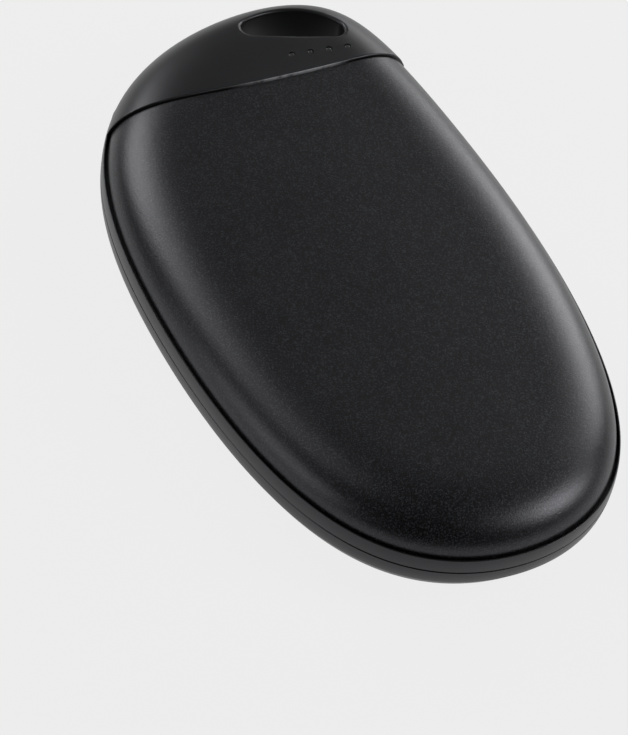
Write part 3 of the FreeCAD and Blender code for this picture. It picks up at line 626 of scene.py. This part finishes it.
@dataclass(frozen=True)
class SatinMoulding(Coating):
    """Satin black moulded plastic: very fine grain, faint handling marks and a painted highlight
    along the seam edge.
    """

    name: str = "satin_black_moulding"
    tone: Colour = grey(0.004, 0.05)
    light_tone: Colour = grey(0.008, 0.05)
    # Light grey of the painted highlight along the cap's seam edge.
    seam_highlight_tone: Colour = grey(0.34, 0.03)
    gloss: Colour = (0.94, 0.94, 1.0, 1.0)
    grain: Noise = Noise(5200.0)
    marks: Noise = Noise(120.0, 4.0, 0.6)
    # Noise that breaks up the painted seam highlight.
    highlight_breakup: Noise = Noise(900.0, 3.0, 0.6)
    # Limits of the painted seam highlight: its strip across the seam, its span in X and the height
    # where it starts.
    rim_half_width: float = 32.3
    highlight_near: Edge = (-0.1, 0.05)
    highlight_far: Edge = (0.12, 0.06)
    highlight_start: Edge = (0.0, 5.0)
    highlight_end: Edge = (15.5, 2.5)
    highlight_height: Edge = (12.0, 1.0)
    highlight_breaks: Edge = (0.36, 0.2)
    roughness: float = 0.38
    spread: float = 0.06
    relief: float = 1.2e-5
    strength: float = 0.12

    def painted_seam_highlight(self, shader: Shader, place: Value) -> Value:
        """Share of painted highlight: a thin light strip beyond the seam's parabola, broken by
        noise.

        Args:
            shader: Tree that the nodes go into.
            place: The piece's own coordinates in metres.

        Returns:
            The share, from 0 to 1.
        """
        split = shader.node("ShaderNodeSeparateXYZ", None, {0: place})
        across = split("X") * METRE
        curve = Outline.seam_bow / self.rim_half_width**2
        beyond = split("Y") * METRE - Outline.seam_distance - across * across * curve
        # Painted highlight: a light strip beside the seam, on the right half of the front cap only.
        strip = (1 - beyond.above(*self.highlight_far)) * beyond.above(*self.highlight_near)
        span = across.above(*self.highlight_start) * (1 - across.above(*self.highlight_end))
        front = (split("Z") * METRE).above(*self.highlight_height)
        broken = shader.noise(place, self.highlight_breakup).above(*self.highlight_breaks)
        return strip * span * front * broken

    def sockets(self, shader: Shader) -> dict[str, Input]:
        """Grain in the tone under the painted seam highlight, and marks in the roughness."""
        place = shader.place()
        grain = shader.noise(place, self.grain)
        marks = shader.noise(place, self.marks) - NOISE_MEAN
        tone = shader.mix(grain, self.tone, self.light_tone)
        return {
            # Base Color takes the painted highlight along the seam edge.
            "Base Color": shader.mix(self.painted_seam_highlight(shader, place), tone, self.seam_highlight_tone),
            "Roughness": self.roughness + (grain - NOISE_MEAN + marks) * self.spread,
            "Specular Tint": self.gloss,
            "Normal": shader.bump(grain, self.strength, self.relief),
        }


# Sub-assemblies


@dataclass
class Body:
    """Sizes that all sub-assemblies share, read from the frame."""

    outline: Outline = field(init=False)
    split: float = field(init=False)
    cap_tops: dict[Side, float] = field(init=False)
    band_height: float = 2.4
    split_bevel: float = 0.15
    cap_wall: float = 2.4
    cap_width: float = 14.5
    cap_powers: tuple[float, float] = (3.2, 2.4)
    shy: float = 0.012

    def __post_init__(self) -> None:
        """Take the overall size and the split plane from the housings' boxes."""
        low, high = CAD_BOX
        front_low, front_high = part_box("front_housing")
        rear_low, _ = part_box("rear_housing")
        self.outline = Outline(
            (high[0] - low[0]) * METRE - self.shy, (high[1] - low[1]) * METRE - self.shy
        )
        self.split = front_low[2] * METRE
        self.cap_tops = {
            Side.FRONT: front_high[2] * METRE - self.split,
            Side.REAR: self.split - rear_low[2] * METRE,
        }

    def crown(self, side: Side) -> Shoulder:
        """Outer profile of the cap on one side."""
        rise = self.cap_tops[side] - self.split_bevel
        return Shoulder(0.0, self.split_bevel, self.cap_width, rise, *self.cap_powers)

    def room(self, side: Side) -> Shoulder:
        """Inner profile of the cap on one side."""
        rise = self.cap_tops[side] - self.cap_wall
        return Shoulder(self.cap_wall, 0.0, self.cap_width, rise, *self.cap_powers)

    def level(self, side: Side, height: Array) -> Array:
        """Height in the part of a height above the split plane on one side."""
        return self.split + side.value * height

    def flank(self, degrees: float, curved: bool = False) -> Flank:
        """Place on the cap's flank at the split plane, flat or bent like the rim there."""
        point, normal = self.outline.frame(math.radians(degrees))
        step = 1.0
        ahead, _ = self.outline.frame(math.radians(degrees + step))
        behind, _ = self.outline.frame(math.radians(degrees - step))
        drop = float(np.dot(2 * point - ahead - behind, normal)) / 2
        reach = float(np.linalg.norm(ahead - behind)) / 2
        bend = 2 * drop / reach**2 if curved else 0.0
        return Flank(point + np.array([0.0, 0.0, self.split]), normal, bend)


def hand_over(piece: Piece, material: Material, body: str, node: str) -> None:
    """Dress a piece, tie it to its body, and hide the frame's node in its place.

    Args:
        piece: Finished piece.
        material: Its material.
        body: Body that it rides on.
        node: Node of the frame that it replaces.
    """
    piece.data.materials.clear()
    piece.data.materials.append(material)
    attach(piece, body)
    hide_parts(node)
    LOG.info("%s: %d faces, stands for %s", piece.name, len(piece.data.polygons), node)


@dataclass
class HeatPlate:
    """Pressed metal plate: a shallow dish that seats in the band and ends square at the seam."""

    body: Body
    side: Side
    node: str
    inset: float = 0.8
    foot: float = 1.75
    wall: float = 1.0
    shoulder_width: float = 13.0
    powers: tuple[float, float] = (2.8, 2.1)
    seam_gap: float = 0.12
    edge_round: float = 0.2
    edge_rows: int = 6
    turns: int = 321
    levels: int = 40
    columns: int = 30
    bend_rows: int = 24

    def profile(self, depth: float) -> Pair:
        """Insets and levels of the shoulder at a depth inside the wall, from the foot up."""
        angle = np.linspace(0, QUARTER, self.levels)
        rise = self.body.split - self.foot
        outer, inner = (
            Shoulder(self.inset + wall, self.foot, self.shoulder_width, rise - wall, *self.powers)
            for wall in (0.0, self.wall)
        )
        outer, inner = np.array(outer.at(angle)), np.array(inner.at(angle))
        inset, level = outer + (inner - outer) * depth / self.wall
        return inset, level

    def shoulder(self, depth: float, shift: float) -> Array:
        """Shoulder at one depth: rims stacked along the profile, from seam to seam."""
        inset, level = self.profile(depth)
        x, y = self.body.outline.sweep(inset, shift, self.turns)
        z = self.body.level(self.side, level)[:, None]
        return np.stack(np.broadcast_arrays(x, y, z), axis=-1)

    def top(self, rim: Array, shift: float) -> Array:
        """Level top inside a rim: straight rows across, the first ones bent to the seam."""
        half = self.turns // 2 + 1
        across = np.linspace(0, 1, self.columns)[None, :, None]
        rows = rim[:half, None] * (1 - across) + rim[::-1][:half, None] * across
        bend = np.clip(1 - np.arange(half) / self.bend_rows, 0, 1)[:, None] ** 2
        rows[..., 1] += bend * (self.body.outline.seam(rows[0, :, 0]) + shift - rows[0, :, 1])
        return rows

    def build(self, finish: Material) -> None:
        """Outer and inner face, joined along the foot and, by a rounded edge, along the seam.

        Args:
            finish: Material of the plate.
        """
        arc = np.linspace(0, QUARTER, self.edge_rows)
        depths = np.append(self.edge_round * (1 - np.cos(arc)), self.wall)
        shifts = np.append(-self.seam_gap - self.edge_round * (1 - np.sin(arc)), -self.seam_gap)
        made = Surface()
        feet, ends = [], []
        for row, (depth, shift) in enumerate(zip(depths, shifts)):
            flank = self.shoulder(depth, shift)
            top = self.top(flank[-1], shift)
            feet.append(flank[0])
            ends.append(np.concatenate([flank[:-1, 0], top[0], flank[:-1, -1][::-1]]))
            if row in (0, len(depths) - 1):
                made.grid(flank / METRE)
                made.grid(top / METRE)
        made.grid(np.array(feet) / METRE)
        made.grid(np.array(ends) / METRE)
        hand_over(made.piece(f"{self.node}_plate"), finish, CASE, self.node)


@dataclass
class LanyardHole:
    """D-shaped hole: straight near side, arched far side, rounded corners."""

    across: float = 12.5
    along: float = 49.2
    turn: float = math.radians(-17.0)
    length: float = 16.8
    width: float = 7.2
    corner: float = 2.2
    wall: float = 1.6
    lip: float = 0.75
    samples: int = 400

    def local(self, x: Array, y: Array) -> Pair:
        """Coordinates along and across the hole, from its centre."""
        cosine, sine = math.cos(self.turn), math.sin(self.turn)
        dx, dy = x - self.across, y - self.along
        return dx * cosine + dy * sine, dy * cosine - dx * sine

    def reach(self, angle: Array) -> Array:
        """Distance from the centre to the hole's edge along each direction.

        The edge is a line, two sides and an arch, drawn in by the corner radius and swept
        round again by a circle of that radius; its polar distance is read off by interpolation.

        Args:
            angle: Directions in the plan, in radians.

        Returns:
            One distance for each direction.
        """
        half, depth, radius = self.length / 2, self.width / 2, self.corner
        arch = (half**2 + depth**2) / (2 * depth)
        side = half - radius
        centre = depth - arch
        shoulder = centre + math.sqrt((arch - radius) ** 2 - side**2)
        lean = math.atan2(shoulder - centre, side)
        count = self.samples
        low = np.linspace(-QUARTER, 0.0, count)
        high = np.linspace(0.0, lean, count)
        bow = np.linspace(lean, QUARTER, count)
        edges = (
            (np.linspace(0.0, side, count), np.full(count, -depth)),
            (side + radius * np.cos(low), radius - depth + radius * np.sin(low)),
            (side + radius * np.cos(high), shoulder + radius * np.sin(high)),
            (arch * np.cos(bow), centre + arch * np.sin(bow)),
        )
        x, y = np.concatenate(edges, axis=1)
        x, y = np.concatenate([x, -x[::-1]]), np.concatenate([y, y[::-1]])
        around = np.arctan2(y, x)
        order = np.argsort(around)
        return np.interp(angle - self.turn, around[order], np.hypot(x, y)[order], period=TURN)


@dataclass
class HousingHalf:
    """One plastic half: the hollow cap round the lanyard hole and the band round the plate."""

    body: Body
    side: Side
    node: str
    hole: LanyardHole = field(default_factory=LanyardHole)
    lip_width: float = 0.45
    lip_round: float = 0.1
    lip_steps: int = 5
    rebate_floor: float = 1.5
    seam_round: float = 0.28
    rim_columns: int = 281
    seam_columns: int = 90
    lip_rows: int = 9
    top_rows: int = 54
    top_easing: float = 2.3
    room_rows: int = 16
    band_turns: int = 361
    wall_rows: int = 8
    gate_width: float = 0.8

    def band(self) -> Piece:
        """Band: one closed profile of insets and levels carried along the rim, from seam to seam.

        Returns:
            The band.
        """
        bevel, top, soft = self.body.split_bevel, self.body.band_height, self.lip_round
        lip, wall, floor = self.lip_width, self.body.cap_wall, self.rebate_floor
        wall_level = np.linspace(bevel, top - soft, self.wall_rows)
        wall_inset = self.body.crown(self.side).inset_of(wall_level)
        arc = np.linspace(0, QUARTER, self.lip_steps)[1:]
        rise, drawn = top - soft + soft * np.sin(arc), soft * (1 - np.cos(arc))
        inset = np.concatenate(
            [[bevel], wall_inset, wall_inset[-1] + drawn, lip - drawn[::-1], [lip, lip, wall, wall]]
        )
        rebate = [top - soft, floor, floor, 0.0]
        level = np.concatenate([[0.0], wall_level, rise, rise[::-1], rebate])
        x, y = self.body.outline.sweep(inset, 0.0, self.band_turns)
        z = self.body.level(self.side, level)[:, None]
        made = Surface()
        index = made.grid(metres(x, y, z), ring_rows=True)
        made.face(index[:, 0])
        made.face(index[:, -1])
        return made.piece(f"{self.node}_band")

    def cap(self) -> Piece:
        """Cap: rays from the hole to the rim and the seam, over the top and back inside the wall.

        A point's height is the crown's at the inset of the rim through it, less the rounding
        at the hole's edge and at the seam. The way back follows the room inside, which a
        smooth step ends at the wall on the near side of the hole. A row close above the bevel
        at the hole's foot keeps the shading of its wall upright.

        Returns:
            The cap, not yet opened.
        """
        outline, hole = self.body.outline, self.hole
        crown, room = self.body.crown(self.side), self.body.room(self.side)
        bevel, wall = self.body.split_bevel, self.body.cap_wall
        right, left = (outline.crossing(np.zeros(1), 0.0, flank)[0] for flank in (True, False))
        rim_turn = np.linspace(right, left, self.rim_columns)
        rim_x, rim_y = outline.point(rim_turn, 0.0)
        seam_x = np.linspace(rim_x[-1], rim_x[0], self.seam_columns + 2)[1:-1]
        end_x = np.concatenate([rim_x, seam_x])
        end_y = np.concatenate([rim_y, outline.seam(seam_x)])
        on_rim = np.arange(len(end_x)) < self.rim_columns
        reach = np.hypot(end_x - hole.across, end_y - hole.along)
        ray_x, ray_y = (end_x - hole.across) / reach, (end_y - hole.along) / reach
        start = hole.reach(np.arctan2(ray_y, ray_x))

        def out(way: Array) -> Pair:
            """X and Y at a distance along every ray."""
            return hole.across + ray_x * way, hole.along + ray_y * way

        lip_angle = np.linspace(0, QUARTER, self.lip_rows)[:, None]
        share = np.linspace(0, 1, self.top_rows)[1:, None]
        eased = 1 - (1 - share) ** self.top_easing
        lip_way = start + hole.lip * (1 - np.cos(lip_angle))
        top_way = start + hole.lip + (reach - start - hole.lip) * eased
        lip_drop = np.concatenate([hole.lip * (1 - np.sin(lip_angle)), np.zeros_like(share)])
        x, y = out(np.concatenate([lip_way, top_way]))
        inset = outline.inset_at(x, y)
        inset[-1, on_rim] = 0.0
        seam_share = np.clip(1 - (y - outline.seam(x)) / self.seam_round, 0, 1)
        seam_drop = self.seam_round * (1 - np.sqrt(1 - seam_share**2))
        z = crown.height(inset) - lip_drop - seam_drop * np.clip(inset / wall, 0, 1)

        deep = last_true(lambda way: outline.inset_at(*out(way)) >= wall, start, reach)
        wall_reach = np.where(inset[-1] >= wall, reach, deep)
        collar = np.minimum(start + hole.wall, wall_reach - bevel)
        inner = np.linspace(0, 1, self.room_rows)[:, None] ** 2
        back_x, back_y = out(
            np.concatenate([reach[None, :], wall_reach + (collar - wall_reach) * inner])
        )
        near_wall = -hole.width / 2 - hole.wall
        gate = np.clip((near_wall - hole.local(back_x, back_y)[1]) / self.gate_width, 0, 1)
        back_z = room.height(outline.inset_at(back_x, back_y)) * gate**2 * (3 - 2 * gate)
        edge_x, edge_y = outline.point(rim_turn, bevel)
        back_x[0, on_rim], back_y[0, on_rim], back_z[0, on_rim] = edge_x, edge_y, 0.0

        foot_x, foot_y = out(np.stack([collar, start + bevel, start, start]))
        foot_z = np.array([0.0, 0.0, bevel, 2 * bevel])[:, None] * np.ones_like(start)
        heights = self.body.level(self.side, np.concatenate([z, back_z, foot_z]))
        all_x, all_y = np.concatenate([x, back_x, foot_x]), np.concatenate([y, back_y, foot_y])
        made = Surface()
        made.grid(metres(all_x, all_y, heights), ring_rows=True, ring_columns=True)
        return made.piece(f"{self.node}_cap")

    def build(self, finish: Material, cutters: Sequence[Piece]) -> None:
        """Build cap and band, and open the cap where the cutters are.

        Args:
            finish: Material of the housing.
            cutters: Closed pieces that are taken away, used up by it.
        """
        cap = self.cap()
        for cutter in cutters:
            carve(cap, cutter)
        for piece in (cap, self.band()):
            hand_over(piece, finish, CASE, self.node)


@dataclass
class ChargingPort:
    """Socket in the cap's flank: a drawn steel shell with a rolled mouth."""

    body: Body
    angle: float = 119.0
    width: float = 8.94
    height: float = 3.26
    depth: float = 7.4
    wall: float = 0.3
    setback: float = 0.6
    play: float = 0.25
    rim_rows: int = 9

    def opening(self, name: str) -> Piece:
        """Form that opens the cap for the socket."""
        length, height = self.width + 2 * self.play, self.height + 2 * self.play
        back = -(self.setback + self.depth + self.play)
        rows = [(length, height, back), (length, height, CUT_MARGIN)]
        return self.body.flank(self.angle).tube(rows, name)

    def build(self, finish: Material) -> None:
        """Tube from the closed back, out to the rounded mouth and back inside.

        Args:
            finish: Material of the shell.
        """
        back = -(self.setback + self.depth)
        angle = np.linspace(0, math.pi, self.rim_rows)
        mouth = rolled_rim(self.width, self.height, -self.setback, self.wall / 2, angle)
        inner = (self.width - 2 * self.wall, self.height - 2 * self.wall, back + self.wall)
        rows = [(self.width, self.height, back), *mouth, inner]
        piece = self.body.flank(self.angle).tube(rows, "charging_port_shell")
        hand_over(piece, finish, CASE, "usb_port_shell")


@dataclass
class PowerButton:
    """Button in the cap's flank: a crown with a soft rim, and the flange that keeps it in."""

    body: Body
    angle: float = 133.0
    width: float = 7.0
    height: float = 3.6
    proud: float = 0.06
    soft_rim: float = 0.3
    rim_rows: int = 8
    dish: float = 0.12
    dish_share: float = 2 / 3
    dish_rows: int = 7
    play: float = 0.25
    flange_rim: float = 0.7
    flange_height: float = 2.8
    flange_thickness: float = 0.8
    flange_gap: float = 0.7

    def opening(self, name: str) -> Piece:
        """Form that opens the cap for the button."""
        length, height = self.width + 2 * self.play, self.height + 2 * self.play
        back = -self.body.cap_wall - CUT_MARGIN
        rows = [(length, height, back), (length, height, CUT_MARGIN)]
        return self.body.flank(self.angle).tube(rows, name)

    def build(self, finish: Material) -> None:
        """Crown loops up to a rounded rim and a shallow dished face, joined to the flange.

        Args:
            finish: Material of the button.
        """
        place = self.body.flank(self.angle, curved=True)
        front = -self.body.cap_wall - self.flange_gap
        back = front - self.flange_thickness
        arc = np.linspace(0, QUARTER, self.rim_rows)
        rim = rolled_rim(self.width, self.height, self.proud, self.soft_rim, arc)
        share = np.linspace(0, 1, self.dish_rows)[1:]
        drawn = 2 * self.soft_rim + share * self.dish_share * self.height
        sunk = self.proud - self.dish * (1 - np.cos(math.pi * share)) / 2
        dish = zip(self.width - drawn, self.height - drawn, sunk)
        rows = [(self.width, self.height, back), *rim, *dish]
        piece = place.tube(rows, "power_button_crown")
        length, height = self.width + 2 * self.flange_rim, self.flange_height
        flange = place.tube([(length, height, back), (length, height, front)], "flange")
        carve(piece, flange, "UNION")
        hand_over(piece, finish, BUTTON, "power_button")


@dataclass
class StatusLights:
    """Row of four clear light pins through the cap, on one bar over the lights of the board."""

    body: Body
    across: float = 13.75
    along: float = 41.25
    pitch: float = 3.25
    turn: float = math.radians(-3.7)
    count: int = 4
    pin_diameter: float = 1.0
    pin_play: float = 0.06
    shy: float = 0.06
    dome: float = 0.14
    dome_rows: int = 7
    bar_gap: float = 0.1
    bar_height: float = 1.6
    bar_width: float = 1.6
    bar_margin: float = 0.5
    leg_diameter: float = 1.2
    leg_overlap: float = 0.3
    spokes: int = 32

    def centres(self) -> Array:
        """X and Y of the pins, evenly spaced on the slanting row."""
        steps = (np.arange(self.count) - (self.count - 1) / 2) * self.pitch
        x, y = self.across + steps * math.cos(self.turn), self.along + steps * math.sin(self.turn)
        return np.stack([x, y], axis=1)

    def column(self, made: Surface, centre: Array, radius: Array, level: Array) -> None:
        """Add a closed upright piece of revolution: circles of given radii at given levels."""
        angle = np.linspace(0, TURN, self.spokes, endpoint=False)
        x = centre[0] + radius[:, None] * np.cos(angle)
        y = centre[1] + radius[:, None] * np.sin(angle)
        made.tube(metres(x, y, level[:, None]))

    def tops(self) -> Array:
        """Level of the cap's face at each pin."""
        inset = self.body.outline.inset_at(*self.centres().T)
        return self.body.level(Side.FRONT, self.body.crown(Side.FRONT).height(inset))

    def opening(self, name: str) -> Piece:
        """Upright holes through the front cap."""
        made = Surface()
        radius = np.full(2, self.pin_diameter / 2 + self.pin_play)
        level = self.body.split + np.array([0.0, self.body.cap_tops[Side.FRONT]]) + CUT_MARGIN
        for centre in self.centres():
            self.column(made, centre, radius, level)
        return made.piece(name)

    def build(self, finish: Material) -> None:
        """Pins with domed heads, a little below the cap's face, on a bar with two feet.

        Args:
            finish: Material of the clear moulding.
        """
        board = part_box("light_pipe")[0][2] * METRE
        bar_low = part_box("status_leds")[1][2] * METRE + self.bar_gap
        bar_high = bar_low + self.bar_height
        made = Surface()
        angle = np.linspace(0, QUARTER, self.dome_rows)[:-1]
        radius = self.pin_diameter / 2 * np.append(1.0, np.cos(angle))
        for centre, top in zip(self.centres(), self.tops()):
            head = top - self.shy - self.dome + self.dome * np.sin(angle)
            self.column(made, centre, radius, np.append((bar_low + bar_high) / 2, head))
        piece = made.piece("status_light_pins")
        length = self.pitch * (self.count - 1) + self.pin_diameter + 2 * self.bar_margin
        along, up = slot_loop(np.full(2, length), np.full(2, self.bar_width), self.spokes)
        up = up + (self.pin_diameter - self.bar_width) / 2
        cosine, sine = math.cos(self.turn), math.sin(self.turn)
        x = self.across + along * cosine - up * sine
        y = self.along + along * sine + up * cosine
        bar = Surface()
        bar.tube(metres(x, y, np.array([bar_low, bar_high])[:, None]))
        carve(piece, bar.piece("light_bar"), "UNION")
        row = np.array([cosine, sine]) * self.pitch * (self.count / 2 - 1)
        middle = np.array([self.across, self.along]) + np.array([-sine, cosine]) * up.mean()
        legs = Surface()
        ends = np.array([board, bar_low + self.leg_overlap])
        for centre in (middle - row, middle + row):
            self.column(legs, centre, np.full(2, self.leg_diameter / 2), ends)
        carve(piece, legs.piece("light_legs"), "UNION")
        hand_over(piece, finish, CASE, "light_pipe")


# Finishes of the pieces that keep the frame's own shape

AMBER = ((0.45, 0.16, 0.02, 1.0), (0.75, 0.42, 0.13, 1.0))
GREEN = ((0.006, 0.07, 0.03, 1.0), (0.012, 0.12, 0.05, 1.0))
IVORY = ((0.62, 0.6, 0.52, 1.0), (0.8, 0.79, 0.72, 1.0))
RED = ((0.3, 0.01, 0.01, 1.0), (0.5, 0.03, 0.02, 1.0))
TAN = ((0.4, 0.28, 0.17, 1.0), (0.6, 0.46, 0.3, 1.0))
SILVER = (grey(0.45, 0.02), grey(0.62, 0.02))
ASH = (grey(0.12), grey(0.28))
SMOKE = (grey(0.05), grey(0.16))
BRUSHED, TRACKS = Pattern.BRUSHED, Pattern.TRACKS
SLOT_FINISHES = {
    "seal": Finish("bonding_strip", grey(0.004), grey(0.012), scale=700.0, roughness=(0.6, 0.8)),
    "film": Finish("amber_film", *AMBER, TRACKS, 180.0, (0.25, 0.4)),
    "foam": Finish("grey_foam", *ASH, Pattern.CELLS, 1400.0, (0.8, 0.95), relief=1e-4),
    "pouch": Finish("laminate_pouch", *SILVER, Pattern.EMBOSSED, 900.0, (0.22, 0.4), 0.6),
    "tab": Finish("nickel_strip", grey(0.55), grey(0.7), BRUSHED, 1800.0, (0.2, 0.35), 1.0),
    "board": Finish("solder_mask", *GREEN, TRACKS, 420.0, (0.25, 0.35)),
    "pale_plastic": Finish("white_moulding", *IVORY, scale=1500.0, roughness=(0.3, 0.42)),
    "wire": Finish("red_insulation", *RED, roughness=(0.35, 0.5)),
    "chip": Finish("black_epoxy", grey(0.008), grey(0.022), scale=2600.0, roughness=(0.45, 0.65)),
    "ceramic": Finish("sintered_tan", *TAN, scale=2200.0, roughness=(0.3, 0.5)),
    "clear": Finish("smoked_clear", *SMOKE, scale=2500.0, roughness=(0.08, 0.2), transmission=0.6),
    "steel": Finish("stamped_steel", grey(0.38), grey(0.55), BRUSHED, 2400.0, (0.22, 0.4), 1.0),
}


def dress_inner_pieces(materials: dict[str, Material]) -> None:
    """Give every node the material of its slot, for those that keep their own shape."""
    slots = {entry["node"]: entry["material_slot"] for entry in frame["record"]["subparts"]}
    for name, node in frame["nodes"].items():
        node.data.materials.clear()
        node.data.materials.append(materials[slots[name]])
        LOG.info("%s: dressed as %s", name, slots[name])


# Studio


@dataclass
class SoftBox:
    """Square soft lamp that points at the middle of the warmer."""

    name: str
    place: Triple
    size: tuple[float, float]
    power: float

    def build(self) -> None:
        """Add the lamp, turned towards the part."""
        lamp = bpy.data.lights.new(self.name, "AREA")
        lamp.shape = "RECTANGLE"
        lamp.size, lamp.size_y = self.size
        lamp.energy = self.power
        made = bpy.data.objects.new(self.name, lamp)
        bpy.context.scene.collection.objects.link(made)
        back = np.array(self.place) / np.linalg.norm(self.place)
        side = np.cross([0.0, 0.0, 1.0], back)
        side = side / np.linalg.norm(side)
        turned = Matrix(np.column_stack([side, np.cross(back, side), back]).tolist()).to_4x4()
        made.matrix_world = Matrix.Translation(self.place) @ turned


@dataclass
class Studio:
    """Pale floor, soft lamps, a dim world with a pale horizon, and the camera of the photograph."""

    backdrop: Colour = grey(0.863)
    sky: Colour = grey(0.02)
    horizon: Edge = (0.05, 0.04)
    floor_tone: Colour = grey(0.8)
    floor_glow: float = 0.95
    floor_half: float = 6.0
    floor_lines: int = 9
    lamps: tuple[SoftBox, ...] = (
        SoftBox("left_box", (-0.39, 0.05, 0.16), (0.30, 0.20), 0.35),
        SoftBox("right_box", (0.34, 0.13, 0.16), (0.20, 0.14), 0.42),
        SoftBox("right_strip", (0.31, 0.25, 0.12), (0.26, 0.10), 0.30),
        SoftBox("near_box", (0.28, -0.19, 0.26), (0.16, 0.16), 0.75),
        SoftBox("back_box", (-0.10, 0.36, 0.25), (0.22, 0.20), 0.75),
        SoftBox("top_box", (-0.15, 0.15, 0.40), (0.20, 0.20), 0.15),
    )
    camera_place: Triple = (-0.17152, -0.24728, 0.30902)
    camera_right: Triple = (0.8939, -0.4245, 0.1442)
    camera_up: Triple = (0.2284, 0.7080, 0.6683)
    camera_back: Triple = (-0.3858, -0.5644, 0.7298)
    lens: float = 135.97
    sensor: float = 36.0

    def floor(self) -> None:
        """Level floor that shows the backdrop's grey and takes the part's shadow."""
        made = Surface()
        reach = np.linspace(-self.floor_half, self.floor_half, self.floor_lines)
        x, y = np.meshgrid(reach, reach)
        made.grid(np.stack([x, y, np.zeros_like(x)], axis=-1))
        floor = made.piece("floor", outward=False)
        paper = bpy.data.materials.new("floor_paper")
        shader = Shader(paper)
        path = shader.node("ShaderNodeLightPath")
        seen = shader.maths("MAXIMUM", path("Is Camera Ray"), path("Is Glossy Ray"))
        seen = shader.maths("MAXIMUM", seen, path("Is Transmission Ray"))
        matt = shader.node("ShaderNodeBsdfDiffuse", None, {"Color": self.floor_tone})()
        light = {"Color": self.backdrop, "Strength": 1.0}
        glow = shader.node("ShaderNodeEmission", None, light)()
        inputs = {"Fac": seen * self.floor_glow, 1: matt, 2: glow}
        shader.surface(shader.node("ShaderNodeMixShader", None, inputs)())
        floor.data.materials.append(paper)

    def world(self) -> None:
        """Dim world, pale along the horizon."""
        world = bpy.data.worlds.new("studio")
        bpy.context.scene.world = world
        shader = Shader(world)
        direction = shader.node("ShaderNodeTexCoord")("Generated")
        height = shader.node("ShaderNodeSeparateXYZ", None, {0: direction})("Z")
        tone = shader.mix(1 - height.above(*self.horizon), self.sky, self.backdrop)
        light = shader.node("ShaderNodeBackground", None, {"Color": tone, "Strength": 1.0})()
        shader.node("ShaderNodeOutputWorld", None, {"Surface": light})

    def camera(self) -> None:
        """Camera at the photograph's place and angle."""
        lens = bpy.data.cameras.new("camera")
        lens.lens = self.lens
        lens.sensor_width = self.sensor
        made = bpy.data.objects.new("camera", lens)
        bpy.context.scene.collection.objects.link(made)
        axes = np.column_stack([self.camera_right, self.camera_up, self.camera_back])
        made.matrix_world = Matrix.Translation(self.camera_place) @ Matrix(axes.tolist()).to_4x4()
        bpy.context.scene.camera = made

    def build(self) -> None:
        """Set the stage, the lamps, the world and the camera."""
        self.floor()
        self.world()
        for lamp in self.lamps:
            lamp.build()
        self.camera()
        bpy.context.scene.view_settings.view_transform = "Standard"


def main() -> None:
    """Build every sub-assembly in order."""
    logging.basicConfig(level=logging.INFO, format="%(message)s")
    body = Body()
    materials = {slot: finish.material() for slot, finish in SLOT_FINISHES.items()}
    materials["plate"] = BlastedMetal().material()
    materials["housing"] = SatinMoulding().material()
    materials["button"] = SatinMoulding("satin_button").material()
    dress_inner_pieces(materials)
    HeatPlate(body, Side.FRONT, "front_shell").build(materials["plate"])
    HeatPlate(body, Side.REAR, "rear_shell").build(materials["plate"])
    port = ChargingPort(body)
    button = PowerButton(body)
    lights = StatusLights(body)
    for side, node in ((Side.FRONT, "front_housing"), (Side.REAR, "rear_housing")):
        cutters = [port.opening("port_cutter"), button.opening("button_cutter")]
        if side is Side.FRONT:
            cutters.append(lights.opening("light_cutter"))
        HousingHalf(body, side, node).build(materials["housing"], cutters)
    port.build(materials["steel"])
    button.build(materials["button"])
    lights.build(materials["clear"])
    Studio().build()


if __name__ == "__main__":
    main()
